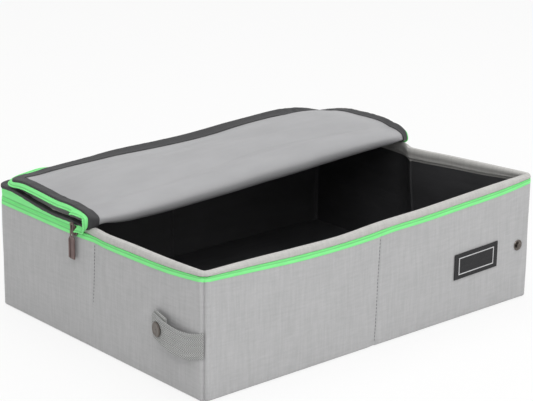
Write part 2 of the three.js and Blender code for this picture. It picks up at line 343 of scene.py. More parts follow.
@dataclass(frozen=True)
class Finish:
    """One finish of the box, its lengths in millimetres.

    Attributes:
        slot: Name of its material slot.
        tint: Colour on screen, 0 to 255.
        pitch: Thread spacing.
        mottle: Strength of the colour variation.
        depth: Depth of the relief.
        metal: 1 for metal.
        line_height: Cloth coordinate of a tape's teeth.
        line_gap: Distance from them of its darker lines of painted shade beside the coil.
        name: Name of its material, where that isn't the slot's.
    """

    slot: str
    tint: Triple
    weave: Weave
    rough: float = 0.85
    pitch: float = 0.9
    mottle: float = 0.12
    depth: float = 0.12
    sheen: float = 0.0
    metal: float = 0.0
    line_height: float = TOOTH_HEIGHT
    line_gap: float = 1.9
    # Strength of the painted shade lines beside a tape's coil.
    line_shade: float = 0.0
    name: str = ""

    @property
    def title(self) -> str:
        """Name of the material, never that of a solid's plain one."""
        return self.name or f"{self.slot}_finish"

    def material(self) -> bpy.types.Material:
        """The finish as a node material, made once."""
        made = bpy.data.materials.get(self.title)
        return made if made else self.wire()

    def wire(self) -> bpy.types.Material:
        """Build the node material.

        Returns:
            A material named after the finish or its slot.
        """
        graph = Graph(self.title)
        graph.shader.inputs["Metallic"].default_value = self.metal
        graph.shader.inputs["Sheen Weight"].default_value = self.sheen
        graph.shader.inputs["Sheen Roughness"].default_value = 0.5
        build = {
            Weave.CANVAS: self.canvas,
            Weave.TAPE: self.tape,
            Weave.COATED: self.coated,
            Weave.WEBBING: self.webbing,
            Weave.METAL: self.brushed,
        }[self.weave]
        build(graph)
        return graph.material

    def mottled(self, graph: Graph, value: Socket, start: float = 0.25,
                end: float = 0.75) -> Socket:
        """Brightness about 1 that follows a value as it goes from start to end."""
        return graph.ranged(value, 1 - self.mottle, 1 + self.mottle, start, end)

    def worn(self, graph: Graph, value: Socket, less: float,
             more: float) -> Socket:
        """Roughness that follows a value, from less below the mean one to more above it."""
        return graph.ranged(value, self.rough - less, self.rough + more)

    def canvas(self, graph: Graph) -> None:
        """Wire woven cloth with slubs along both threads and faint soiling.

        Args:
            graph: The material's graph.
        """
        threads = graph.threads(self.pitch)
        upright = graph.noise((2.1, 24.0, 9.0), 2.0)
        level = graph.noise((16.0, 2.0, 9.0), 2.0)
        soiling = graph.noise((55.0, 40.0, 60.0), 3.0)
        slub = graph.plus(graph.times(upright, 0.58), graph.times(level, 0.42))
        fleck = graph.noise((1.9, 1.9, 3.0), 1.0)
        shade = graph.plus(self.mottled(graph, slub, 0.34, 0.66), graph.swing(soiling, 0.1))
        shade = graph.plus(shade, graph.swing(fleck, self.mottle * 1.2))
        height = graph.plus(graph.times(threads, 0.35), graph.times(slub, 0.9))
        graph.finish(self.tint, shade, height, self.depth, self.worn(graph, fleck, 0.06, 0.08))

    def tape(self, graph: Graph) -> None:
        """Wire close woven tape: fine ribs across it, and on each side of the teeth a shallow groove
        darkened with painted shade.

        Args:
            graph: The material's graph.
        """
        parts = graph.node("ShaderNodeSeparateXYZ")
        graph.put(parts.inputs[0], graph.coordinate)
        ribs = graph.math("SINE", graph.times(parts.outputs[0], math.tau / self.pitch))
        off = graph.math("ABSOLUTE", graph.math("SUBTRACT", parts.outputs[1], self.line_height))
        near = graph.math("ABSOLUTE", graph.math("SUBTRACT", off, self.line_gap))
        # Painted shade: the colour darkens along a line beside the coil, where the coil shades the tape.
        line = graph.ranged(near, 1.0 - self.line_shade, 1.0, 0.25, 0.95)
        cloud = graph.noise((18.0, 3.0, 20.0))
        shade = graph.times(line, self.mottled(graph, cloud))
        height = graph.plus(graph.times(ribs, 0.3), graph.times(line, 2.0))
        graph.finish(self.tint, shade, height, self.depth, self.worn(graph, cloud, 0.1, 0.1))

    def coated(self, graph: Graph) -> None:
        """Wire coated cloth: a faint thread under a film, with soft handling marks.

        Args:
            graph: The material's graph.
        """
        threads = graph.threads(self.pitch)
        cloud = graph.noise((48.0, 30.0, 40.0), 3.0)
        crease = graph.noise((90.0, 7.0, 30.0), 3.0)
        shade = graph.plus(self.mottled(graph, cloud), graph.times(threads, self.mottle * 0.35))
        height = graph.plus(graph.times(threads, 0.2), graph.times(crease, 1.4))
        graph.finish(self.tint, shade, height, self.depth, self.worn(graph, crease, 0.1, 0.12))

    def webbing(self, graph: Graph) -> None:
        """Wire herringbone webbing, its twill turning every few millimetres across.

        Args:
            graph: The material's graph.
        """
        parts = graph.node("ShaderNodeSeparateXYZ")
        graph.put(parts.inputs[0], graph.coordinate)
        turn = graph.math("PINGPONG", parts.outputs[1], 2.9)
        slope = graph.plus(parts.outputs[0], graph.times(turn, 1.1))
        twill = graph.math("SINE", graph.times(slope, math.tau / self.pitch))
        cloud = graph.noise((9.0, 4.0, 20.0))
        shade = graph.plus(self.mottled(graph, twill, -1.0, 1.0), graph.swing(cloud, 0.2))
        graph.finish(self.tint, shade, twill, self.depth, self.worn(graph, cloud, 0.08, 0.08))

    def brushed(self, graph: Graph) -> None:
        """Wire plated metal with fine scratches and slightly duller handling marks.

        Args:
            graph: The material's graph.
        """
        scratch = graph.noise((0.5, 4.0, 4.0), 2.0)
        cloud = graph.noise((5.0, 5.0, 5.0), 3.0)
        shade = self.mottled(graph, cloud)
        graph.finish(self.tint, shade, scratch, self.depth, self.worn(graph, cloud, 0.1, 0.12))


OUTER = Finish("outer_fabric", (175, 175, 176), Weave.CANVAS, mottle=0.07, depth=0.12, sheen=0.12)
RIM = Finish("rim_fabric", (186, 185, 182), Weave.CANVAS, mottle=0.075, depth=0.2, pitch=1.1, sheen=0.15)
# The zip tape's colour carries painted shade lines beside its coil.
ZIP = Finish("zip_tape", (132, 238, 144), Weave.TAPE, rough=0.7, pitch=0.8, mottle=0.06, depth=0.1,
             line_shade=0.3)
LINING = Finish("lining", (58, 58, 60), Weave.COATED, rough=0.5, mottle=0.2, depth=0.3)
LID_LINING = Finish("lid_lining", (158, 158, 160), Weave.COATED, rough=0.52, mottle=0.06, depth=0.12)
BINDING = Finish("binding", (42, 42, 44), Weave.TAPE, rough=0.62, pitch=1.0, mottle=0.25, depth=0.12)
BOARD = Finish("board", (125, 122, 116), Weave.COATED, rough=0.9, mottle=0.08)
WEBBING = Finish("webbing", (170, 171, 170), Weave.WEBBING, rough=0.8, pitch=1.9, mottle=0.42, depth=0.3)
SNAP = Finish("snap_metal", (104, 98, 93), Weave.METAL, rough=0.3, mottle=0.15, depth=0.02, metal=1.0)
GUNMETAL = Finish("gunmetal", (116, 100, 98), Weave.METAL, rough=0.4, mottle=0.2, depth=0.03, metal=1.0)
PATCH = Finish("patch", (34, 34, 36), Weave.WEBBING, rough=0.8, pitch=1.4, mottle=0.4, depth=0.2)
PATCH_LINE = Finish("patch", (214, 214, 216), Weave.WEBBING, rough=0.8, pitch=1.0, mottle=0.1, depth=0.1,
                    name="patch_line")
STITCH = Finish("outer_fabric", (120, 120, 122), Weave.CANVAS, pitch=0.5, name="stitch_thread")


# Meshes


class Cloth:
    """Closed shells of one piece, gathered in millimetres with their cloth coordinates."""

    def __init__(self) -> None:
        """Start with nothing."""
        self.points: list[Array] = []
        self.weave: list[Array] = []
        self.faces: list[tuple[int, ...]] = []
        self.count = 0

    def add(self, points: Array, weave: Array) -> int:
        """Take in points.

        Args:
            points: Points, three coordinates each.
            weave: Their cloth coordinates.

        Returns:
            Number of the first one.
        """
        first = self.count
        self.points.append(points.reshape(-1, 3))
        self.weave.append(weave.reshape(-1, 3))
        self.count += len(self.points[-1])
        return first

    def tube(self, rings: Array, weave: Array, closed: bool = False) -> "Cloth":
        """Add a tube.

        Args:
            rings: Points by ring and place round it.
            weave: Cloth coordinates in the same order.
            closed: Whether the last ring joins the first.

        Returns:
            Itself.
        """
        rows, around = rings.shape[:2]
        first = self.add(rings, weave)
        for i in range(rows if closed else rows - 1):
            a, b = first + i * around, first + (i + 1) % rows * around
            for j in range(around):
                k = (j + 1) % around
                self.faces.append((a + j, a + k, b + k, b + j))
        if not closed:
            last = first + (rows - 1) * around
            self.faces.append(tuple(range(first + around - 1, first - 1, -1)))
            self.faces.append(tuple(range(last, last + around)))
        return self

    def join(self, other: "Cloth") -> "Cloth":
        """Add all that another gathering holds.

        Args:
            other: The other gathering.

        Returns:
            Itself.
        """
        first = self.count
        self.count += other.count
        self.points += other.points
        self.weave += other.weave
        self.faces += [tuple(first + i for i in face) for face in other.faces]
        return self

    def slab(self, top: Array, bottom: Array, weave: Array) -> "Cloth":
        """Add a sheet with two faces and a closed edge.

        Args:
            top: Points of one face, by row and column.
            bottom: Points of the other face.
            weave: Cloth coordinates of both.

        Returns:
            Itself.
        """
        rows, columns = top.shape[:2]
        count = np.arange(rows * columns).reshape(rows, columns)
        a = (count + self.add(top, weave)).tolist()
        b = (count + self.add(bottom, weave)).tolist()
        for i in range(rows - 1):
            for j in range(columns - 1):
                self.faces.append((a[i][j], a[i + 1][j], a[i + 1][j + 1], a[i][j + 1]))
                self.faces.append((b[i][j], b[i][j + 1], b[i + 1][j + 1], b[i + 1][j]))
        edge = [(i, 0) for i in range(rows)]
        edge += [(rows - 1, j) for j in range(1, columns)]
        edge += [(i, columns - 1) for i in range(rows - 2, -1, -1)]
        edge += [(0, j) for j in range(columns - 2, 0, -1)]
        for (i, j), (k, m) in zip(edge, edge[1:] + edge[:1]):
            self.faces.append((a[i][j], b[i][j], b[k][m], a[k][m]))
        return self

    def capsule(self, start: Array, end: Array, radius: float, flat: Array, press: float = 0.7) -> "Cloth":
        """Add one thread of stitching.

        Args:
            start: One end.
            end: The other end.
            radius: Half its width.
            flat: Direction in which it is pressed flat.
            press: Height as a share of its width.

        Returns:
            Itself.
        """
        axis = unit(end - start)
        up = unit(flat - axis * (flat @ axis))
        side = np.cross(axis, up)
        turns = circle(6)
        ring = np.cos(turns)[:, None] * side + press * np.sin(turns)[:, None] * up
        sizes = ((0.0, 0.45), (0.18, 1.0), (0.82, 1.0), (1.0, 0.45))
        rings = np.array([start + (end - start) * t + ring * radius * r for t, r in sizes])
        return self.tube(rings, rings)

    def lathe(self, centre: Sequence[float], axis: Sequence[float], profile: Knots,
              sides: int = 28) -> "Cloth":
        """Add a turned shape.

        Args:
            centre: Foot of its axis.
            axis: Direction of its axis.
            profile: Radius and height along the axis, from the back to the face.
            sides: Number of sides.

        Returns:
            Itself.
        """
        axis = unit(np.asarray(axis, float))
        first = unit(np.cross(axis, UP))
        second = np.cross(axis, first)
        turns = circle(sides)
        around = np.cos(turns)[:, None] * first + np.sin(turns)[:, None] * second
        rings = np.array([np.asarray(centre) + axis * h + around * r for r, h in profile])
        return self.tube(rings, rings)

    def plate(self, outline: Array, origin: Sequence[float], out: Array, thick: Pair,
              bevel: float) -> "Cloth":
        """Add an upright plate with bevelled edges.

        Args:
            outline: Corners as distance along Y and height.
            origin: Point from which the corners are measured.
            out: Direction in which the plate faces, along X.
            thick: Distances of its back and face from the origin.
            bevel: Size of the bevel.

        Returns:
            Itself.
        """
        middle = outline.mean(0)
        span = np.abs(outline - middle).max(0)
        low, high = thick
        rings = []
        for inset, height in ((bevel, low), (0.0, low + bevel), (0.0, high - bevel), (bevel, high)):
            flat = middle + (outline - middle) * (1 - inset / span)
            rings.append(np.asarray(origin) + np.column_stack((0 * flat[:, 0], flat)) + height * out)
        return self.tube(np.array(rings), np.array(rings))

    def build(self, name: str, finish: Finish, sharp: float = 38.0) -> Piece:
        """Write the gathered shells as one object.

        Args:
            name: Name of the piece.
            finish: Its finish.
            sharp: Angle in degrees beyond which an edge stays crisp.

        Returns:
            The new object, with its slot set.
        """
        points, weave = np.vstack(self.points), np.vstack(self.weave)
        mesh = bpy.data.meshes.new(name)
        mesh.from_pydata((points * MM).tolist(), [], self.faces)
        attribute = mesh.attributes.new("weave", "FLOAT_VECTOR", "POINT")
        attribute.data.foreach_set("vector", weave.astype(np.float32).ravel())
        work = bmesh.new()
        work.from_mesh(mesh)
        bmesh.ops.recalc_face_normals(work, faces=work.faces)
        work.to_mesh(mesh)
        work.free()
        mesh.shade_smooth()
        mesh.set_sharp_from_angle(angle=math.radians(sharp))
        mesh.materials.append(finish.material())
        made = bpy.data.objects.new(name, mesh)
        bpy.context.scene.collection.objects.link(made)
        return made


def on(piece: Piece, body: str, *nodes: str) -> Piece:
    """Let a piece ride on a body and stand for some solids."""
    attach(piece, body)
    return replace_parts(piece, *nodes) or piece if nodes else piece


def across(piece: Piece, first: str, second: str, start: Sequence[float],
           end: Sequence[float]) -> None:
    """Bake the placement of a piece that lies between two bodies into its mesh."""
    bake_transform(piece)


# How the soft walls hang


def coons(x: Array, y: Array, front: Knots, back: Knots, left: Knots, right: Knots) -> Array:
    """Blend curves given along the four walls over the plan.

    Args:
        x: Places along X.
        y: Places along Y.
        front: Curve along the front wall, by x.
        back: Curve along the back wall, by x.
        left: Curve along the left end, by y.
        right: Curve along the right end, by y.

    Returns:
        The blended values.
    """
    u = np.clip((x + HALF_X) / (2 * HALF_X), 0, 1)
    v = np.clip((y + HALF_Y) / (2 * HALF_Y), 0, 1)
    along = (1 - v) * spline(x, front) + v * spline(x, back)
    over = (1 - u) * spline(y, left) + u * spline(y, right)
    near = (1 - u) * front[0][1] + u * front[-1][1]
    far = (1 - u) * back[0][1] + u * back[-1][1]
    return along + over - (1 - v) * near - v * far


@dataclass(frozen=True)
class Drape:
    """Sag, belly and creases that all layers share.

    The first four curves say how far the walls' tops stand above the solids' level, the next four how far
    the rim and the lid do. A wave is given by its lengths along and up and its shift, then by the lengths
    up and along of the wave that crosses it. A crease is given by its places at its foot and its top.
    """

    front: Knots = (
        (-200, 0.6), (-150, -1.6), (-94, -4.1), (-47, -4.4), (-12, -3.4), (12, -1.7), (53, -0.7),
        (106, 1.8), (161, 4.6), (200, 8.8))
    back: Knots = ((-200, -5.5), (-150, -5.6), (-100, -6.0), (0, -7.2), (50, -6.4), (100, -3.8), (200, -4.0))
    left: Knots = ((-150, 0.6), (-105, -3.8), (-49, -5.4), (3, -5.8), (38, -5.8), (86, -5.8), (150, -5.5))
    right: Knots = ((-150, 8.8), (-100, 3.5), (-50, 0.5), (0, -2.5), (45, -2.0), (100, -2.5), (150, -4.0))
    top_front: Knots = (
        (-200, -4.8), (-150, -5.0), (-94, -6.1), (-47, -6.5), (0, -3.7), (53, -2.5), (106, -0.1),
        (161, 2.4), (200, 3.5))
    top_back: Knots = (
        (-200, -5.0), (-150, -6.0), (-100, -7.0), (-50, -8.0), (0, -9.0), (25, -9.0), (50, -8.0),
        (75, -6.0), (100, -4.6), (150, -4.0), (175, -5.6), (200, -6.5))
    top_left: Knots = (
        (-150, -4.8), (-105, -6.5), (-49, -7.0), (3, -7.6), (28, -6.0), (86, -5.0), (150, -5.0))
    top_right: Knots = (
        (-150, 3.5), (-100, 1.8), (-50, -0.2), (0, -2.5), (45, -1.5), (100, -2.5), (150, -6.5))
    belly: float = 1.3
    end_share: float = 0.8
    arch_height: float = 112.0
    groove: float = 0.9
    groove_width: float = 1.3
    pinch: float = 9.0
    pinch_width: float = 11.0
    puff: float = 1.6
    puff_width: float = 12.0
    ripple: float = 0.28
    long_wave: tuple[float, ...] = (21.0, 34.0, 0.6, 15.0, 63.0)
    end_wave: tuple[float, ...] = (19.0, -31.0, 1.9, 17.0, 51.0)
    left_crease: Pair = (6.5, 2.5)
    front_crease: Pair = (-4.0, 0.0)
    long_from: float = 112.0
    end_from: float = 160.0
    corner_ease: float = 26.0
    zip_foot: float = 107.0
    zip_height: float = 12.0
    flat_ease: float = 4.0

    def low(self, x: Array, y: Array) -> Array:
        """Change of height of the walls' top at a place in plan."""
        return coons(x, y, self.front, self.back, self.left, self.right)

    def high(self, x: Array, y: Array) -> Array:
        """Change of height of the rim's top and of the lid at a place in plan."""
        return coons(x, y, self.top_front, self.top_back, self.top_left, self.top_right)

    def crease(self, ends: Pair, z: Array) -> Array:
        """Where a fold line lies at a height, from its foot to its top."""
        return ends[0] + (ends[1] - ends[0]) * np.clip(z / WALL_HEIGHT, 0, 1)

    def towards(self, place: Array, begin: float) -> Array:
        """Share, 0 to 1, to which a place belongs to the wall that begins there."""
        return smooth((place - begin) / self.corner_ease)

    def wave(self, along: Array, z: Array, a: float, b: float, shift: float, c: float, d: float) -> Array:
        """Two crossing waves in the cloth, from -1 to 1."""
        return np.sin(along / a + z / b + shift) * np.sin(z / c + along / d)

    def hang(self, points: Array) -> Array:
        """Points of a flat wall as the soft wall holds them.

        Args:
            points: Points in millimetres.

        Returns:
            The moved points.
        """
        x, y, z = np.moveaxis(points, -1, 0)
        rise = smooth(z / WALL_HEIGHT)
        wall = np.clip(z / WALL_HEIGHT, 0, 1)
        arch = np.sin(math.pi * np.clip(z / self.arch_height, 0, 1))
        to_front, to_back = self.towards(-y, self.long_from), self.towards(y, self.long_from)
        to_left, to_right = self.towards(-x, self.end_from), self.towards(x, self.end_from)
        half_end = HALF_Y - CORNER
        long_belly = self.belly * np.sin(math.pi * np.abs(x) / HALF_X) ** 2 * arch
        end_swell = np.sin(math.pi * np.clip(np.abs(y) / half_end, 0, 1)) ** 2
        end_belly = self.end_share * self.belly * end_swell * arch
        below_zip = smooth((self.zip_foot - z) / self.flat_ease)
        front_line = self.crease(self.front_crease, z) * to_front
        left_line = self.crease(self.left_crease, z) * to_left
        long_groove = self.groove * bump((x - front_line) / self.groove_width) * below_zip
        end_groove = self.groove * bump((y - left_line) / self.groove_width) * below_zip
        long_out = long_belly - long_groove + self.ripple * self.wave(x, z, *self.long_wave) * arch
        end_out = end_belly - end_groove + self.ripple * self.wave(y, z, *self.end_wave) * arch
        front_part = np.clip(1 + y / half_end, 0, 1)
        fold_in = self.pinch * np.where(y < 0, front_part, bump(y / self.pinch_width)) * rise
        moved = points.copy()
        moved[..., 1] += (to_back - to_front) * long_out
        moved[..., 0] += (to_right - to_left) * end_out - to_right * fold_in
        moved[..., 0] += to_left * self.puff * bump((y - left_line) / self.puff_width) * rise
        low, high = self.low(x, y), self.high(x, y)
        share = smooth((z - self.zip_foot) / self.zip_height)
        moved[..., 2] += (low + (high - low) * share) * wall
        return moved


DRAPE = Drape()


# Plan of the walls


class Place(Enum):
    """Stretches of the outer face, in order round the box from the front left corner."""

    FRONT = 0
    FRONT_RIGHT = 1
    RIGHT = 2
    REAR_RIGHT = 3
    BACK = 4
    REAR_LEFT = 5
    LEFT = 6
    FRONT_LEFT = 7


@dataclass(frozen=True)
class Plan:
    """Outer face of the walls seen from above, as one line measured round the box."""

    seam: float = 1.1
    seam_width: float = 0.75
    shoulder: float = 0.8
    shoulder_off: float = 2.7
    shoulder_width: float = 1.7
    open_from: float = 16.0
    open_ease: float = 14.0
    relief_top: float = 118.0
    relief_ease: float = 12.0
    swell_depth: float = 4.6
    swell_ease: float = 2.6
    swell_foot: float = 109.0
    swell_rise: float = 3.0
    weave_depth: float = 3.0

    def lengths(self) -> tuple[float, ...]:
        """Lengths of the eight stretches, in the order of Place."""
        long, short, arc = 2 * (HALF_X - CORNER), 2 * (HALF_Y - CORNER), CORNER * math.pi / 2
        return (long, arc, short, arc, long, arc, short, arc)

    def start(self, place: Place) -> float:
        """Where a stretch begins along the line."""
        return sum(self.lengths()[: place.value])

    def size(self, place: Place) -> float:
        """How long a stretch is."""
        return self.lengths()[place.value]

    def span(self, place: Place) -> Pair:
        """First and last place of a stretch."""
        return self.start(place), self.start(place) + self.size(place)

    def middle(self, place: Place) -> float:
        """Place of a stretch's middle, where a corner has its seam."""
        return self.start(place) + self.size(place) / 2

    def at_x(self, place: Place, x: float) -> float:
        """Place along the line of a point of a long wall."""
        run = x + HALF_X - CORNER if place is Place.FRONT else HALF_X - CORNER - x
        return self.start(place) + run

    def at_y(self, place: Place, y: float) -> float:
        """Place along the line of a point of an end wall."""
        run = y + HALF_Y - CORNER if place is Place.RIGHT else HALF_Y - CORNER - y
        return self.start(place) + run

    def trace(self, s: Array) -> tuple[Array, Array, Array]:
        """Read the line.

        Args:
            s: Places along it.

        Returns:
            Points in plan, directions into the box and how far the seams stand out.
        """
        points, inward, relief = np.zeros((len(s), 2)), np.zeros((len(s), 2)), np.zeros(len(s))
        x0, y0 = HALF_X - CORNER, HALF_Y - CORNER
        ways = {Place.FRONT: (1, 0), Place.RIGHT: (0, 1), Place.BACK: (-1, 0), Place.LEFT: (0, -1)}
        starts = {Place.FRONT: (-x0, -HALF_Y), Place.RIGHT: (HALF_X, -y0),
                  Place.BACK: (x0, HALF_Y), Place.LEFT: (-HALF_X, y0)}
        centres = {Place.FRONT_RIGHT: (x0, -y0, -90), Place.REAR_RIGHT: (x0, y0, 0),
                   Place.REAR_LEFT: (-x0, y0, 90), Place.FRONT_LEFT: (-x0, -y0, 180)}
        for place in Place:
            begin, length = self.start(place), self.size(place)
            here = (s >= begin - 0.001) & (s <= begin + length + 0.001)
            run = (s[here] - begin)[:, None]
            if place in ways:
                way = np.array(ways[place], float)
                points[here] = np.array(starts[place]) + run * way
                inward[here] = (-way[1], way[0])
            else:
                cx, cy, first = centres[place]
                turn = math.radians(first) + run[:, 0] / CORNER
                ray = np.stack((np.cos(turn), np.sin(turn)), -1)
                points[here] = np.array((cx, cy)) + CORNER * ray
                inward[here] = -ray
                off = s - self.middle(place)
                proud = bump((np.abs(off) - self.shoulder_off) / self.shoulder_width)
                relief += self.shoulder * proud - self.seam * bump(off / self.seam_width)
        return points, inward, relief

    def is_open(self, s: Array) -> Array:
        """Whether the zip stands open, 1, or the lid is zipped to the walls, 0."""
        points, _, _ = self.trace(s)
        return smooth((self.open_from - points[:, 1]) / self.open_ease)

    def sweep(self, s: Array, profile: Array, seam_depth: float, flare: float = 0.0) -> tuple[Array, Array]:
        """Carry a wall's section along the line.

        Args:
            s: Places along the line.
            profile: Section as depth into the wall and height.
            seam_depth: Share of the seams' relief that this layer shows.
            flare: How far the outer side bulges out where the zip is open.

        Returns:
            Rings of hung points and their cloth coordinates.
        """
        points, inward, relief = self.trace(s)
        depth, height = profile[:, 0], profile[:, 1]
        fade = smooth((self.relief_top - height) / self.relief_ease)
        reach = depth[None, :] - (relief * seam_depth)[:, None] * fade[None, :]
        swell = smooth((self.swell_depth - depth) / self.swell_ease)
        swell = swell * smooth((height - self.swell_foot) / self.swell_rise)
        reach = reach - flare * self.is_open(s)[:, None] * swell[None, :]
        plan = points[:, None, :] + inward[:, None, :] * reach[..., None]
        rings = stacked(plan[..., 0], plan[..., 1], height[None, :])
        return DRAPE.hang(rings), stacked(s[:, None], height[None, :], self.weave_depth)


PLAN = Plan()


def turned_profile(*points: Pair) -> Array:
    """Section of a layer as an array of depth and height."""
    return np.array(points, float)


def rise(depth: float, low: float, high: float, count: int) -> list[Pair]:
    """Points up or down one face of a section."""
    return [(depth, z) for z in np.linspace(low, high, count)]


@dataclass(frozen=True)
class Layers:
    """Sections of the layers that make up a wall, as depth from the outer face and height."""

    strip: float = 6.0
    bottom: float = 2.6
    thick: float = 0.8

    def skin(self) -> Array:
        """Outer cloth, rolled under the floor at its foot.

        Returns:
            Its section.
        """
        outer = [(self.strip, 0.0)] + self.roll(self.bottom, 0, math.pi / 2)
        outer += rise(0.0, 10, 101, 13) + [(0.0, 105.4), (0.25, 106.0), (self.thick, 106.0)]
        inner = rise(self.thick, 98, 8, 8) + self.roll(self.bottom - self.thick, math.pi / 2, 0)
        return np.array(outer + inner + [(self.strip, self.thick)])

    def roll(self, radius: float, start: float, end: float) -> list[Pair]:
        """Points round the roll at the foot, from one angle to another."""
        mid, turns = self.bottom, np.linspace(start, end, 6)
        return [(mid - radius * math.sin(a), mid - radius * math.cos(a)) for a in turns]

    def tape(self) -> Array:
        """Lower half of the zip tape, lapped over the top of the skin."""
        return turned_profile(
            (1.1, 106.5), (0.1, 106.3), (-0.06, 105.8), (-0.08, 105.2), (-0.25, 105.0), (-0.42, 105.5),
            (-0.42, 106.6), (-0.36, 107.7), (-0.3, 108.8), (-0.1, 109.6), (0.3, 110.0), (0.9, 109.9),
            (1.1, 108.2))

    def rim(self) -> Array:
        """Piped cloth rim: outer flange behind the tape, rolled top and short inner face."""
        return turned_profile(
            (3.0, 104.6), (2.6, 105.2), (2.5, 107.5), (2.3, 109.4), (1.75, 110.8), (1.5, 112.2),
            (1.45, 113.8), (1.5, 115.4), (1.8, 116.9), (2.5, 118.2), (3.8, 118.9), (5.1, 118.4),
            (6.0, 117.1), (6.3, 115.4), (6.1, 113.6), (5.7, 112.2), (5.4, 110.8), (5.5, 109.6),
            (5.2, 108.6), (4.4, 108.1), (3.5, 107.4), (3.3, 106.0))

    def lining(self) -> Array:
        """Black coated lining, with a flange on the floor at its foot."""
        flange = [(4.2, 1.7), (7.3, 1.6), (7.3, 1.1)]
        return np.array(rise(2.6, 1.1, 104.0, 10) + rise(3.2, 107.6, 2.2, 10) + flange)

    def board(self) -> Array:
        """Stiffening board between skin and lining."""
        return np.array(rise(1.1, 3.7, 102, 7) + rise(2.3, 102, 3.7, 7))


LAYERS = Layers()


@dataclass(frozen=True)
class WallPiece:
    """One stretch of the walls along the plan's line, on one body or lying between two.

    Its nodes are the solids that each layer stands for, fold holds the places that need fine samples, and
    turn is the start and end of the bend in plan. A stretch hidden in another has a shrink below 1.
    """

    name: str
    span: Pair
    bodies: tuple[str, ...]
    nodes: dict[str, tuple[str, ...]] = field(default_factory=dict)
    fold: tuple[float, ...] = ()
    turn: tuple[Pair, Pair] | None = None
    shrink: float = 1.0
    inset: float = 0.0
    spacing: float = 6.0
    flare: float = 1.9

    def place(self, piece: Piece, layer: str) -> Piece:
        """Attach a piece of this stretch to its single body, or bake its placement where it lies between
        two.

        Args:
            piece: The piece.
            layer: Its layer.

        Returns:
            The same piece.
        """
        if len(self.bodies) == 1:
            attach(piece, self.bodies[0])
        else:
            (ax, ay), (bx, by) = self.turn
            across(piece, *self.bodies, (ax, ay, 0), (bx, by, 0))
        if self.nodes.get(layer):
            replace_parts(piece, *self.nodes[layer])
        return piece

    def build(self) -> list[Piece]:
        """Make the layers of this stretch.

        Returns:
            The pieces made.
        """
        s = between(*self.span, self.spacing, self.fold)
        made = []
        for layer, section, finish, seam, flare in (
            ("skin", LAYERS.skin(), OUTER, 1.0, 0.0),
            ("tape", LAYERS.tape(), ZIP, 0.5, 0.0),
            ("rim", LAYERS.rim(), RIM, 0.3, self.flare),
            ("lining", LAYERS.lining(), LINING, 0.3, 0.0),
        ):
            middle = section.mean(0)
            section = middle + (section - middle) * self.shrink + (self.inset, 0.0)
            rings, weave = PLAN.sweep(s, section, seam, flare)
            piece = Cloth().tube(rings, weave).build(f"{self.name}_{layer}_cloth", finish)
            made.append(self.place(piece, layer))
        made.append(self.place(self.teeth().build(f"{self.name}_zip_teeth", ZIP, CRISP_TEETH), "teeth"))
        return made

    def teeth(self, depth: float = 0.45, height: float = 110.15, seam: float = 0.3) -> Cloth:
        """Coil of the zip along the top of the tape, tooth by tooth.

        Args:
            depth: Depth of its middle from the outer face.
            height: Height of its middle.
            seam: Share of the corner seams' relief that it follows.

        Returns:
            The coil.
        """
        count = max(2, int(round((self.span[1] - self.span[0]) / TOOTH_PITCH)))
        s = np.linspace(*self.span, count * len(TOOTH) + 1)
        size = tooth_sizes(len(s))
        turns = circle(TOOTH_SIDES)
        points, inward, relief = PLAN.trace(s)
        deep = depth + size[:, None] * np.cos(turns) - seam * relief[:, None]
        plan = points[:, None, :] + inward[:, None, :] * deep[..., None]
        z = height + TOOTH_PRESS * size[:, None] * np.sin(turns)
        rings = DRAPE.hang(stacked(plan[..., 0], plan[..., 1], z))
        return Cloth().tube(rings, stacked(s[:, None], TOOTH_HEIGHT + 0 * z, 0 * z))


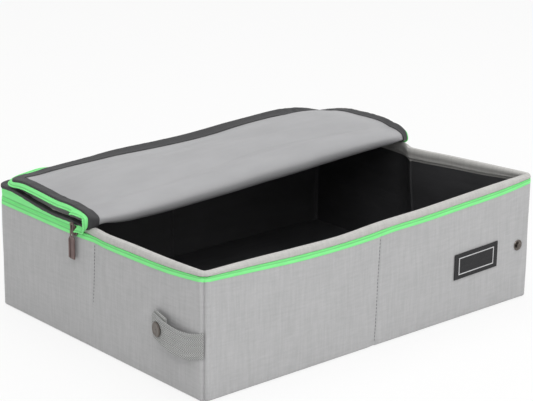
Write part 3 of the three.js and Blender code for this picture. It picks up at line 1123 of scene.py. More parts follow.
@dataclass(frozen=True)
class Walls:
    """The four soft walls: skin, zip tape, rim, lining and boards, split where the box folds."""

    reach: float = 12.0
    centre: float = 10.0
    long_board: Pair = (2.0, 188.0)
    end_board: Pair = (4.0, 138.0)
    board_spacing: float = 8.0
    stitch: float = 2.1
    stitch_pitch: float = 3.4
    stitch_span: Pair = (5.0, 101.0)
    stitch_proud: float = 0.12
    stitch_radius: float = 0.42
    nested: Pair = (0.985, 0.5)

    def nodes(self, wall: str, kind: str) -> dict[str, tuple[str, ...]]:
        """Solids that the layers of a wall, or of half an end, stand for."""
        return {"skin": (f"{wall}_{kind}_skin",), "tape": (f"{wall}_zip_tape",),
                "rim": (f"{wall}_{kind}_rim",), "lining": (f"{wall}_{kind}_lining",)}

    def long_wall(self, side: str, place: Place) -> WallPiece:
        """One long wall."""
        nodes, fold = self.nodes(side, "wall"), (PLAN.at_x(place, 0),)
        return WallPiece(f"{side}_wall", PLAN.span(place), (side,), nodes, fold)

    def end_half(self, half: str, first: float, last: float) -> WallPiece:
        """One half of an end wall."""
        return WallPiece(f"{half}_end", (first, last), (half,), self.nodes(half, "end"))

    def centre_fold(self, side: str, x: float, place: Place, first: float, last: float) -> WallPiece:
        """Cloth across the fold of an end wall.

        Args:
            side: Which end, left or right.
            x: Its place along X.
            place: Its stretch of the plan.
            first: Where it begins, along Y.
            last: Where it ends.

        Returns:
            The stretch.
        """
        span = PLAN.at_y(place, first), PLAN.at_y(place, last)
        turn = (x, self.centre), (x, -self.centre)
        bodies = f"{side}_rear", f"{side}_front"
        return WallPiece(f"{side}_centre_fold", span, bodies, {}, (PLAN.at_y(place, 0),), turn)

    def pieces(self) -> list[WallPiece]:
        """List the stretches of the walls.

        Returns:
            The stretches, in order round the box.
        """
        y, c, x0 = HALF_Y - CORNER - self.reach, self.centre, HALF_X
        right, left, open_corner = Place.RIGHT, Place.LEFT, Place.FRONT_LEFT
        first, last = PLAN.start(Place.FRONT_RIGHT), PLAN.span(Place.REAR_RIGHT)[1]
        open_span, open_seam = PLAN.span(open_corner), (PLAN.middle(open_corner),)
        return [
            self.long_wall("front", Place.FRONT),
            WallPiece("front_right_corner", (first, PLAN.at_y(right, -y)), ("right_front", "front"), {},
                      (PLAN.middle(Place.FRONT_RIGHT),), ((x0, -y), (x0, -HALF_Y))),
            self.end_half("right_front", PLAN.at_y(right, -y), PLAN.at_y(right, -c)),
            self.centre_fold("right", x0, right, -c, c),
            self.end_half("right_rear", PLAN.at_y(right, c), PLAN.at_y(right, y)),
            WallPiece("rear_right_corner", (PLAN.at_y(right, y), last), ("back", "right_rear"), {},
                      (PLAN.middle(Place.REAR_RIGHT),), ((x0, HALF_Y), (x0, y))),
            self.long_wall("back", Place.BACK),
            WallPiece("rear_left_corner", (PLAN.start(Place.REAR_LEFT), PLAN.at_y(left, y)),
                      ("back", "left_rear"), {}, (PLAN.middle(Place.REAR_LEFT),),
                      ((-x0, HALF_Y), (-x0, y))),
            self.end_half("left_rear", PLAN.at_y(left, y), PLAN.at_y(left, c)),
            self.centre_fold("left", -x0, left, c, -c),
            self.end_half("left_front", PLAN.at_y(left, -c), PLAN.span(left)[1]),
            WallPiece("front_left_corner", open_span, ("front",), {}, open_seam),
            WallPiece("front_left_corner_lap", open_span, ("left_front",), {}, open_seam, None,
                      *self.nested),
        ]

    def boards(self) -> None:
        """Stiffening boards inside the walls, hung like the cloth round them."""
        spans = []
        near, far = self.long_board
        for side, place in (("front", Place.FRONT), ("back", Place.BACK)):
            for letter, ends in (("a", (-far, -near)), ("b", (near, far))):
                spans.append((f"{side}_wall_board_{letter}", side, [PLAN.at_x(place, x) for x in ends]))
        near, far = self.end_board
        for side, place in (("right", Place.RIGHT), ("left", Place.LEFT)):
            for half, ends in (("rear", (near, far)), ("front", (-far, -near))):
                body = f"{side}_{half}"
                spans.append((f"{body}_end_board", body, [PLAN.at_y(place, y) for y in ends]))
        for node, body, ends in spans:
            s = between(min(ends), max(ends), self.board_spacing)
            rings, weave = PLAN.sweep(s, LAYERS.board(), 0.0)
            on(Cloth().tube(rings, weave).build(f"{node}_sheet", BOARD), body, node)

    def build(self) -> None:
        """Make every stretch and log it."""
        for piece in self.pieces():
            made = piece.build()
            LOG.info("%s: %d pieces", piece.name, len(made))
        self.boards()
        self.stitching()
        LOG.info("walls: boards and stitching")

    def stitching(self) -> None:
        """Stitched fold lines down the middle of each wall."""
        rows = (
            ("front_fold_stitching", (0.0, -HALF_Y), (0.0, -1.0), ("front",), 0, DRAPE.front_crease),
            ("back_fold_stitching", (0.0, HALF_Y), (0.0, 1.0), ("back",), 0, None),
            ("left_fold_stitching", (-HALF_X, 0.0), (-1.0, 0.0), ("left_rear", "left_front"), 1,
             DRAPE.left_crease),
            ("right_fold_stitching", (HALF_X, 0.0), (1.0, 0.0), ("right_rear", "right_front"), 1, None),
        )
        for name, (x, y), (nx, ny), bodies, along, crease in rows:
            cloth = Cloth()
            out = np.array((nx, ny, 0.0))
            for z in np.arange(*self.stitch_span, self.stitch_pitch):
                ends = np.array(((x, y, z), (x, y, z + self.stitch))) + self.stitch_proud * out
                if crease:
                    ends[:, along] += DRAPE.crease(crease, ends[:, 2])
                start, end = DRAPE.hang(ends)
                cloth.capsule(start, end, self.stitch_radius, out)
            piece = cloth.build(name, STITCH)
            if len(bodies) == 1:
                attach(piece, bodies[0])
            else:
                across(piece, *bodies, (x, self.centre, 0), (x, -self.centre, 0))


# Floor


@dataclass(frozen=True)
class Floor:
    """Floor in two hinged halves: outer cloth, board, black lining and soft corner gussets.

    Each panel is given by the heights of its underside and top, its margin and its swelling.
    """

    hinge: float = 143.7
    reach: float = 190.7
    gap: float = 0.3
    skin: tuple[float, ...] = (0.0, 0.8, 0.0, 0.0)
    board: tuple[float, ...] = (1.1, 2.5, 4.0, 0.0)
    lining: tuple[float, ...] = (2.8, 3.4, -1.6, 0.9)
    ease: Pair = (0.06, 6.0)
    ruck: float = 34.0
    edge_drop: float = 0.25
    gusset_far: float = 6.6
    gusset_end: float = 141.7
    gusset_high: float = 1.7
    gusset_ruck: Pair = (26.0, 0.45)

    def half_length(self, y: Array) -> Array:
        """Half length of the stiff panel at a distance from the middle line."""
        return self.reach - (self.hinge - np.abs(y))

    def panel(self, side: int, low: float, high: float, margin: float, swell: float) -> Cloth:
        """Make one panel of a floor half.

        Args:
            side: 1 for the back half, -1 for the front half.
            low: Height of its underside.
            high: Height of its top.
            margin: How far it stays inside the half's outline.
            swell: Height of the soft swelling of its top.

        Returns:
            The gathered panel.
        """
        y = np.linspace(self.gap + max(margin, 0.0), self.hinge - max(margin, 0.0), 22)
        u = np.linspace(-1, 1, 41)
        reach = self.half_length(y) - margin * math.sqrt(2)
        x, y_all = np.broadcast_arrays(u[None, :] * reach[:, None], side * y[:, None])
        share, length = self.ease
        edge = smooth((1 - np.abs(u)) / share)[None, :]
        edge = edge * smooth(np.minimum(y - y[0], y[-1] - y) / length)[:, None]
        ruck = rumple(stacked(x, y_all, 0.0), self.ruck, 3.0 + side)
        lift = swell * edge * (0.55 + 0.45 * ruck)
        top = stacked(x, y_all, high + lift - self.edge_drop * (1 - edge))
        return Cloth().slab(top, stacked(x, y_all, low), top * (1, 1, 0))

    def gusset(self, side: int, end: int) -> Cloth:
        """Soft corner piece between a stiff panel and an end wall.

        Args:
            side: 1 for the back half, -1 for the front half.
            end: 1 for the right end, -1 for the left end.

        Returns:
            The gathered piece.
        """
        y = np.linspace(self.gap, self.gusset_end, 20)
        t = np.linspace(0, 1, 9)
        start, far = self.half_length(y) + 0.5, HALF_X - self.gusset_far
        x = start[:, None] + (far - start[:, None]) * t[None, :]
        plan = stacked(end * x, side * y[:, None], 0 * x)
        width, height = self.gusset_ruck
        lift = height * rumple(plan, width, 9.0) * np.sin(math.pi * t)[None, :]
        return Cloth().slab(plan + UP * (self.gusset_high + lift[..., None]), plan + UP * 0.0, plan)

    def build(self) -> None:
        """Make both halves and log them."""
        layers = (("skin", "cloth", OUTER, self.skin), ("board", "sheet", BOARD, self.board),
                  ("lining", "cloth", LINING, self.lining))
        for name, side in (("back", 1), ("front", -1)):
            body = f"floor_{name}"
            for layer, kind, finish, cut in layers:
                node = f"{name}_floor_{layer}"
                on(self.panel(side, *cut).build(f"{node}_{kind}", finish), body, node)
            for letter, end in (("a", -side), ("b", side)):
                node = f"{name}_floor_gusset_{letter}"
                on(self.gusset(side, end).build(f"{node}_cloth", LINING), body, node)
            LOG.info("floor: %s half", name)


# Lid


class Part(Enum):
    """The three parts of the folded lid."""

    REAR = "lid_rear"
    ROLL = "lid_roll"
    FLAP = "lid_flap"


@dataclass(frozen=True)
class Crease:
    """Straight valley across part of the flap, its numbers at the box's middle line."""

    depth: float
    y: float
    slant: float
    width: float
    x: float
    length: float

    def at(self, x: Array, y: Array) -> Array:
        """Depth of the valley at a place in plan."""
        across_it = (y - self.y - x * self.slant) / self.width
        return self.depth * bump(across_it) * bump((x - self.x) / self.length)


@dataclass(frozen=True)
class LidSheet:
    """The folded lid as one sheet: back edge, forwards over the box, round the roll and back again.

    A place on it is x and q: q runs 0 to 1 over the rear half, 1 to 3 round the roll, 3 to 4 over the flap.
    The line between its two cloths is the sheet; the pale lining is on the side that its normal points to.
    """

    roll: Knots = (
        (-200, 12), (-190, 6.5), (-175, -1.1), (-150, -2.9), (-125, -1.7), (-100, 1.1), (-50, 6.5),
        (0, 9.5), (50, 11.4), (100, 10.8), (150, 11.6), (175, 14), (188, 17), (200, 22))
    reach: Knots = ((-200, 130), (-175, 135), (-150, 139), (-100, 145), (0, 149), (100, 150), (200, 150))
    fall: Knots = (
        (-200, 6.4), (-194, 7.2), (-186, 5.6), (-174, 2.2), (-160, 0.5), (-145, 0), (150, 0), (164, 0.8),
        (178, 2.8), (189, 4.6), (195, 4.6), (200, 3.2))
    rear_fall: Knots = ((0, 5.5), (30, 5.8), (63, 6.8), (90, 5), (104, 3.4), (121, 1.4), (150, 1.5))
    curl: Knots = (
        (-200, 1.5), (-175, 3), (-150, 4.2), (-125, 4.6), (-100, 5.4), (-50, 7.2), (0, 7.8), (50, 8.2),
        (100, 7), (150, 7.8), (180, 7), (200, 4))
    rim_back: Knots = (
        (-200, 130.4), (-192, 130.4), (-175, 128.2), (-150, 127.4), (-125, 127), (-100, 126.6),
        (-75, 126.8), (-50, 126.2), (0, 126), (50, 126.2), (100, 126.6), (175, 126.2), (200, 126.2))
    rim_left: Knots = (
        (0, 138.2), (0.12, 137.6), (0.25, 136.2), (0.45, 136), (0.71, 134.4), (0.85, 133.4), (0.93, 132.6),
        (1, 131.2))
    rim_right: Knots = ((0, 138.2), (0.12, 138.6), (0.32, 136.9), (0.54, 135), (0.8, 130), (1, 126.2))
    valley: Knots = ((-200, 17), (-125, 19), (-60, 27), (38, 38), (95, 31), (161, 27), (200, 27))
    valley_depth: Knots = (
        (-200, 0.4), (-150, 2.0), (-60, 3.2), (38, 3.6), (95, 3.2), (161, 2.2), (200, 0.4))
    valley_width: float = 8.0
    creases: tuple[Crease, Crease] = (Crease(1.5, 74, -0.16, 9.0, -20, 120.0),
                                      Crease(1.1, 104, 0.14, 7.0, 70, 80.0))
    late: float = 2.4
    crown: float = 4.5
    crown_ease: float = 70.0
    front_reach: float = 16.0
    right_inset: float = 6.0
    curl_width: float = 12.5
    rear_sag: float = 0.9
    rear_sag_width: float = 150.0
    corner_from: float = 185.0
    corner_ease: float = 15.0
    right_fall: float = 2.5

    def droop(self, x: Array) -> Array:
        """How far the flap hangs down at its two ends."""
        return spline(x, self.fall)

    def roll_radius(self, x: Array) -> Array:
        """Half height of the roll."""
        return ROLL_RADIUS - self.droop(x) / 2

    def flap_start(self, x: Array) -> Array:
        """Where the flap begins behind the roll."""
        return spline(x, self.roll) + self.front_reach - self.roll_radius(x)

    def flap_height(self, x: Array, v: Array) -> Array:
        """Height of the flap.

        Args:
            x: Places along the lid.
            v: Places from the roll, 0, to the free edge, 1.

        Returns:
            Heights of the sheet.
        """
        u = np.clip((x + HALF_X) / (2 * HALF_X), 0, 1)
        w = np.clip(v, 0, 1)
        top = LID_MIDDLE + 2 * ROLL_RADIUS
        ends = (1 - u) * spline(w, self.rim_left) + u * spline(w, self.rim_right)
        near = (1 - u) * self.rim_left[0][1] + u * self.rim_right[0][1]
        far = (1 - u) * self.rim_left[-1][1] + u * self.rim_right[-1][1]
        late = w**self.late
        height = (1 - w) * (top - near) + late * (spline(x, self.rim_back) - far)
        height = height + ends + (w - late) * (top - far)
        inside = smooth((HALF_X - np.abs(x)) / self.crown_ease)
        height = height + self.crown * np.sin(math.pi * w) * inside
        start = self.flap_start(x)
        y = start + v * (HALF_Y - start)
        valley = bump((y - spline(x, self.valley)) / self.valley_width)
        height = height - spline(x, self.valley_depth) * valley
        for crease in self.creases:
            height = height - crease.at(x, y)
        turned = np.clip((y - HALF_Y + self.curl_width) / self.curl_width, 0, 1.1)
        height = height + spline(x, self.curl) * turned**1.5
        return height - self.droop(x) * (1 - 0.85 * smooth((v - 0.35) / 0.55))

    def point(self, x: Array, q: Array) -> Array:
        """Point of the sheet.

        Args:
            x: Places along the lid.
            q: Places round it, of the same shape.

        Returns:
            Points in millimetres.
        """
        x, q = np.broadcast_arrays(np.asarray(x, float), np.asarray(q, float))
        centre, radius = spline(x, self.roll), self.roll_radius(x)
        rear_y = HALF_Y + (centre - HALF_Y) * q
        sag = self.rear_sag * np.sin(math.pi * np.clip(q, 0, 1)) * bump(x / self.rear_sag_width)
        fall = spline(rear_y, self.rear_fall) * smooth((-x - self.corner_from) / self.corner_ease)
        fall = fall + self.right_fall * smooth((x - self.corner_from) / self.corner_ease)
        rear_z = LID_MIDDLE - sag - fall
        low = np.clip(q - 1, 0, 1) * math.pi / 2
        low_y = centre - radius * np.sin(low)
        low_z = LID_MIDDLE + radius * (1 - np.cos(low)) - fall * np.cos(low)
        high = (q - 2) * math.pi / 2
        high_y = centre - radius + self.front_reach * (1 - np.cos(high))
        ridge = self.flap_height(x, 0 * x)
        high_z = LID_MIDDLE + radius + (ridge - LID_MIDDLE - radius) * np.sin(high)
        start = self.flap_start(x)
        flap_y = start + (q - 3) * (spline(x, self.reach) - start)
        flap_z = self.flap_height(x, q - 3)
        x = x - self.right_inset * smooth((x - 90.0) / 110.0) * smooth((q - 1.0) / 1.4)
        y = np.select((q < 1, q < 2, q < 3), (rear_y, low_y, high_y), flap_y)
        z = np.select((q < 1, q < 2, q < 3), (rear_z, low_z, high_z), flap_z)
        return np.stack((x, y, z + DRAPE.high(x, y)), -1)

    def normal(self, x: Array, q: Array) -> Array:
        """Direction in which the pale lining faces.

        Args:
            x: Places along the lid.
            q: Places round it.

        Returns:
            Directions of length 1.
        """
        x, q = np.broadcast_arrays(np.asarray(x, float), np.asarray(q, float))
        along = self.point(x + 0.4, q) - self.point(x - 0.4, q)
        step = np.where((q < 1) | (q >= 3), 0.004, 0.03)
        return unit(np.cross(along, self.point(x, q + step) - self.point(x, q - step)))

    def layer(self, x: Array, q: Array, off: Array) -> Array:
        """Points at a distance off the sheet, on its lining side where that is positive."""
        return self.point(x, q) + self.normal(x, q) * np.asarray(off, float)[..., None]

    def place(self, part: Part, x: Array, y: Array) -> Array:
        """Find a point of the rear half or of the flap.

        Args:
            part: Which of them.
            x: Places along the lid.
            y: Places along Y.

        Returns:
            Places round the sheet.
        """
        if part is Part.REAR:
            return (HALF_Y - y) / (HALF_Y - spline(x, self.roll))
        start = self.flap_start(x)
        return 3 + (y - start) / (HALF_Y - start)


SHEET = LidSheet()


@dataclass(frozen=True)
class Lid:
    """Folded-back lid: cloths, black binding and the upper half of the zip tape.

    The tape leans by an angle about the lid's edge: 0 hangs from the lining side, 180 from the outer side.
    A cloth is given by the distances of its two faces off the sheet, the puckers by width and height, and
    the cut, which is not used, by the depth in metres of the rear half, the roll and the flap.
    """

    rear_lap: float = 10.0
    flap_lap: float = 6.0
    bend: Pair = (124.4, 131.8)
    shell: Pair = (-1.15, -0.15)
    lining: Pair = (0.15, 0.75)
    lining_inset: float = 1.1
    tape_width: float = 8.4
    tape_tuck: float = 2.6
    lean_left: float = 150.0
    lean_back: Knots = ((-200, 125), (-188, 108), (-165, 100), (-150, 118), (-135, 150), (200, 155))
    lean_right: float = 164.0
    lean_open: float = 50.0
    roll_tape: Pair = (6.0, 2.2)
    end_narrow: float = 0.25
    pleat: tuple[float, ...] = (5.5, 0.42, 13.0, 0.35)
    bunch: float = 2.6
    bunch_x: float = 168.0
    bunch_width: float = 15.0
    cut: Triple = (0.131, 0.042, 0.126)

    def columns(self) -> Array:
        """Shares of the half length at which the cloths are cut, finer at both ends."""
        ends = np.linspace(186, 200, 9)[1:]
        return np.concatenate((-ends[::-1], np.linspace(-186, 186, 59), ends)) / HALF_X

    def width_at(self, y: Array, inset: float) -> Array:
        """Half length of the lid with its round corners, at a distance from the middle."""
        over = np.clip(y - (HALF_Y - CORNER), 0, CORNER - inset)
        return HALF_X - CORNER + np.sqrt(np.maximum((CORNER - inset) ** 2 - over**2, 0.0))

    def front(self, part: Part, x: Array) -> Array:
        """Where the rear half's or the flap's cloth begins along Y, by x."""
        flap = SHEET.flap_start(x) + self.flap_lap
        return spline(x, SHEET.roll) + self.rear_lap if part is Part.REAR else flap

    def round_roll(self, x: Array, before: int, behind: int) -> tuple[Array, Array]:
        """Places round the roll, from one cloth's lap to the other's.

        Args:
            x: Places along the lid, as one row.
            before: Number of rows over the rear half's lap.
            behind: Number of rows over the flap's lap.

        Returns:
            x and q, by row and column.
        """
        rear = SHEET.place(Part.REAR, x, self.front(Part.REAR, x))
        flap = SHEET.place(Part.FLAP, x, self.front(Part.FLAP, x))
        lead = rear + (1 - rear) * np.linspace(0, 1, before)[:-1, None]
        turn = 1 + np.linspace(0, 2, 25)[:-1, None] + 0 * x
        q = np.concatenate((lead, turn, 3 + (flap - 3) * np.linspace(0, 1, behind)[:, None]))
        return np.broadcast_to(x, q.shape), q

    def grid(self, part: Part, inset: float) -> tuple[Array, Array]:
        """Places of one cloth on the sheet.

        Args:
            part: The part.
            inset: How far the cloth stays inside the lid's outline.

        Returns:
            x and q, by row and column.
        """
        u = self.columns()
        if part is Part.ROLL:
            return self.round_roll(np.broadcast_to(u * (HALF_X - inset), (1, len(u))), 4, 4)
        if part is Part.REAR:
            runs = (np.linspace(0, 0.9, 34)[:-1],)
        else:
            runs = (np.linspace(0, 0.35, 22)[:-1], np.linspace(0.35, 0.9, 22)[:-1])
        t = np.concatenate((*runs, np.linspace(0.9, 1, 12)))[:, None]
        far = HALF_Y - inset - 0.01
        x = u[None, :] * HALF_X
        near = self.front(part, x)
        x = u[None, :] * self.width_at(near + (far - near) * t, inset)
        near = self.front(part, x)
        return x, SHEET.place(part, x, near + (far - near) * t)

    def cloth(self, part: Part, inset: float, low: float, high: float) -> Cloth:
        """One cloth of the lid.

        Args:
            part: The part.
            inset: How far the cloth stays inside the lid's outline.
            low: Distance of its lower face off the sheet.
            high: Distance of its upper face off the sheet.

        Returns:
            The gathered cloth.
        """
        x, q = self.grid(part, inset)
        top, bottom = SHEET.layer(x, q, np.full(x.shape, high)), SHEET.layer(x, q, np.full(x.shape, low))
        plain = SHEET.point(x, q)
        run = np.cumsum(np.linalg.norm(np.diff(plain, axis=0, prepend=plain[:1]), axis=-1), 0)
        return Cloth().slab(top, bottom, stacked(x, run, 0 * x))

    def edge(self, part: Part, side: int, depth: Array) -> tuple[Array, Array, Array]:
        """Follow the lid's edge.

        Args:
            part: The part.
            side: Which end of the roll, -1 left and 1 right.
            depth: Distances in from the edge at each station.

        Returns:
            x and q by station and depth, and the distance run by station.
        """
        if part is Part.ROLL:
            x, q = self.round_roll(np.broadcast_to(side * (HALF_X - depth), (1, len(depth))), 6, 5)
            return x, q, np.linspace(0, 45, len(q))
        radius = np.maximum(CORNER - depth, 0.0)
        centre_x, centre_y = HALF_X - depth - radius, HALF_Y - depth - radius
        left, right = (self.front(part, side * (HALF_X - depth)) for side in (-1, 1))
        rows = [(-(HALF_X - depth), left + (centre_y - left) * t) for t in np.linspace(0, 1, 44)]
        for a in np.linspace(math.pi, math.pi / 2, 9)[1:]:
            rows.append((-centre_x + radius * math.cos(a), centre_y + radius * math.sin(a)))
        for t in np.linspace(-1, 1, 110)[1:-1]:
            rows.append((t * centre_x, HALF_Y - depth))
        for a in np.linspace(math.pi / 2, 0, 9)[:-1]:
            rows.append((centre_x + radius * math.cos(a), centre_y + radius * math.sin(a)))
        rows += [(HALF_X - depth, right + (centre_y - right) * t) for t in np.linspace(1, 0, 44)]
        x, y = np.moveaxis(np.array(rows), 1, 0)
        run = np.cumsum([0.0, *np.hypot(np.diff(x[:, 0]), np.diff(y[:, 0]))])
        return x, SHEET.place(part, x, y), run

    def bound(self, part: Part, side: int) -> Cloth:
        """Black binding folded over the lid's edge.

        Args:
            part: The part.
            side: Which end of the roll.

        Returns:
            The gathered binding.
        """
        section = turned_profile(
            (11.2, 0.95), (10.9, 1.6), (8.0, 1.75), (4.5, 1.7), (1.2, 1.7), (-0.7, 1.35), (-1.15, 0.1),
            (-0.9, -1.5), (1.0, -2.0), (4.0, -1.95), (5.4, -1.45), (3.0, -1.35), (0.2, -1.3), (-0.35, -0.5),
            (-0.35, 0.5), (0.6, 0.95), (6.0, 0.95))
        depth, off = section.T
        x, q, run = self.edge(part, side, depth)
        along_end = smooth((HALF_Y - 20.0 - np.abs(SHEET.point(x, q)[..., 1])) / 25.0)
        narrow = 1 - self.end_narrow * along_end
        x = np.sign(x) * (HALF_X - (HALF_X - np.abs(x)) * np.where(np.abs(x) > 180, narrow, 1.0))
        where = stacked(run[:, None] + 0 * x, depth[None, :], 0.0)
        small, small_height, large, large_height = self.pleat
        crinkle = rumple(where, small, 4.0) * small_height + rumple(where, large, 8.0) * large_height
        if part is Part.FLAP:
            crinkle = crinkle * (1 + self.bunch * bump((x - self.bunch_x) / self.bunch_width))
        outside = (np.abs(off) > 1.2)[None, :] * np.sign(off)[None, :]
        return Cloth().tube(SHEET.layer(x, q, off[None, :] + crinkle * outside), where)

    def lean(self, part: Part, side: Array, y: Array) -> Array:
        """Angle of the tape about the lid's edge.

        Args:
            part: The part.
            side: Places along the lid, -1 at its left end and 1 at its right end.
            y: Places of the same points along Y.

        Returns:
            Angles in degrees: 0 hangs from the lining side, 180 from the outer side.
        """
        flap = np.where(side < 0, self.lean_left, self.lean_right)
        if part is Part.FLAP:
            straight = spline(side * HALF_X, SHEET.reach) - CORNER
            behind = smooth((y - straight) / 6.0)
            return flap + (spline(side * HALF_X, self.lean_back) - flap) * behind
        first = self.lean_open * smooth((30.0 - y) / 12.0)
        if part is Part.REAR:
            return first
        return first[:1] + (flap - first[:1]) * smooth(np.linspace(0, 1, len(y)))

    def tape(self, part: Part, side: int) -> tuple[Cloth, Cloth]:
        """Upper half of the zip tape along the lid's edge, and its coil.

        Args:
            part: The part.
            side: Which end of the roll.

        Returns:
            The tape and the coil.
        """
        x, q, run = self.edge(part, side, np.array((0.0, 2.0)))
        start = SHEET.layer(x[:, 0], q[:, 0], np.full(len(x), -0.2))
        facing = SHEET.normal(x[:, 0], q[:, 0])
        inner = SHEET.point(x[:, 1], q[:, 1])
        out = SHEET.point(x[:, 0], q[:, 0]) - inner
        out = unit(out - facing * (out * facing).sum(-1, keepdims=True))
        y = start[:, 1]
        lean = np.radians(self.lean(part, x[:, 0] / HALF_X, y))[:, None]
        way = unit(np.cos(lean) * facing + np.sin(lean) * out)
        width = np.full(len(x), self.tape_width)
        if part is Part.FLAP:
            width = width - self.tape_tuck * smooth(-x[:, 0] / 100.0 - 0.9)
        elif part is Part.REAR:
            plan = stacked(x[:, 0], np.minimum(y, HALF_Y), 110.95)
            plan[:, :2] += 0.4 * (inner - start)[:, :2] / 2.0
            down = DRAPE.hang(plan) - start
            shut = smooth((y - 21.0) / 8.0)
            way = unit(way + (unit(down) - way) * shut[:, None])
            width = width + (np.linalg.norm(down, axis=-1) - width) * shut
        else:
            least = self.roll_tape[0 if side < 0 else 1]
            width = width + (least - width) * np.sin(np.linspace(0, math.pi, len(x))) ** 0.5
        flat = unit(np.cross(way, np.cross(facing, out)))
        section = turned_profile(
            (0, -0.35), (2.5, -0.4), (5.0, -0.4), (7.2, -0.35), (7.7, 0.0), (7.2, 0.35), (5.0, 0.4),
            (2.5, 0.4), (0, 0.35))
        share = section[:, 0] / 8.0
        rings = (start[:, None, :] + way[:, None, :] * (share[None, :, None] * width[:, None, None])
                 + flat[:, None, :] * section[None, :, 1, None])
        height = 110.9 + (1 - share[None, :]) * width[:, None]
        tape = Cloth().tube(rings, stacked(run[:, None], height, 0.0))
        return tape, self.coil(start + way * width[:, None], way, flat, run)

    def coil(self, line: Array, way: Array, flat: Array, run: Array) -> Cloth:
        """Teeth along a line.

        Args:
            line: Points of the tape's edge.
            way: Directions away from the lid there.
            flat: Directions off the tape there.
            run: Distances run there.

        Returns:
            The coil, whose size swells once for each tooth.
        """
        count = int(round(run[-1] / TOOTH_PITCH)) * len(TOOTH) + 1
        s = np.linspace(0, run[-1], count)
        line, way, flat = (stacked(*(np.interp(s, run, a) for a in known.T)) for known in (line, way, flat))
        way, flat = unit(way)[:, None, :], unit(flat)[:, None, :]
        turns = circle(TOOTH_SIDES)[None, :, None]
        ring = np.cos(turns) * flat + TOOTH_PRESS * np.sin(turns) * way
        rings = line[:, None, :] - 0.35 * way + ring * tooth_sizes(count)[:, None, None]
        return Cloth().tube(rings, stacked(s[:, None], np.full((1, TOOTH_SIDES), TOOTH_HEIGHT), 0.0))

    def settle(self, piece: Piece, part: Part) -> Piece:
        """Attach a piece of the lid to its body, or bake the placement of a piece on the roll.

        Args:
            piece: The piece.
            part: The part.

        Returns:
            The same piece.
        """
        if part is Part.ROLL:
            start, end = self.bend
            across(piece, "lid_rear", "lid_flap", (0, 0, start), (0, 0, end))
        else:
            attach(piece, part.value)
        return piece

    def hem(self, part: Part, side: int, name: str) -> None:
        """Make the binding, the tape and its coil along one edge.

        Args:
            part: The part.
            side: Which end of the roll, 0 for the other parts.
            name: Start of the pieces' names.
        """
        binding = self.settle(self.bound(part, side).build(f"{name}_binding_cloth", BINDING), part)
        tape, coil = self.tape(part, side)
        tape = self.settle(tape.build(f"{name}_tape_cloth", ZIP), part)
        self.settle(coil.build(f"{name}_zip_teeth", ZIP, CRISP_TEETH), part)
        if part is not Part.ROLL:
            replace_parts(binding, f"{name}_binding")
            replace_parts(tape, f"{name}_zip_tape")

    def build(self) -> None:
        """Make all pieces of the lid and log them."""
        below = ("back_wall_rim_cloth", "lid_rear_shell_cloth", "lid_rear_shell_cloth")
        for part, cut, under in zip(Part, self.cut, below):
            name = part.value
            shell = self.cloth(part, 0.0, *self.shell).build(f"{name}_shell_cloth", OUTER)
            self.settle(shell, part)
            lining = self.cloth(part, self.lining_inset, *self.lining)
            lining = self.settle(lining.build(f"{name}_lining_cloth", LID_LINING), part)
            if part is Part.ROLL:
                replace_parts(shell, name)
                self.hem(part, -1, f"{name}_left")
                self.hem(part, 1, f"{name}_right")
            else:
                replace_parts(shell, f"{name}_shell")
                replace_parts(lining, f"{name}_lining")
                self.hem(part, 0, name)
            LOG.info("lid: %s", name)


# Studio


@dataclass(frozen=True)
class Lamp:
    """One soft lamp aimed at the box, in metres and watts."""

    name: str
    place: Triple
    size: float
    power: float
    aim: Triple = (0.0, 0.0, 0.06)

    def build(self) -> None:
        """Add the lamp."""
        data = bpy.data.lights.new(self.name, "AREA")
        data.shape = "DISK"
        data.size = self.size
        data.energy = self.power
        made = bpy.data.objects.new(self.name, data)
        bpy.context.scene.collection.objects.link(made)
        made.location = self.place
        made.rotation_euler = (Vector(self.aim) - Vector(self.place)).to_track_quat("-Z", "Y").to_euler()


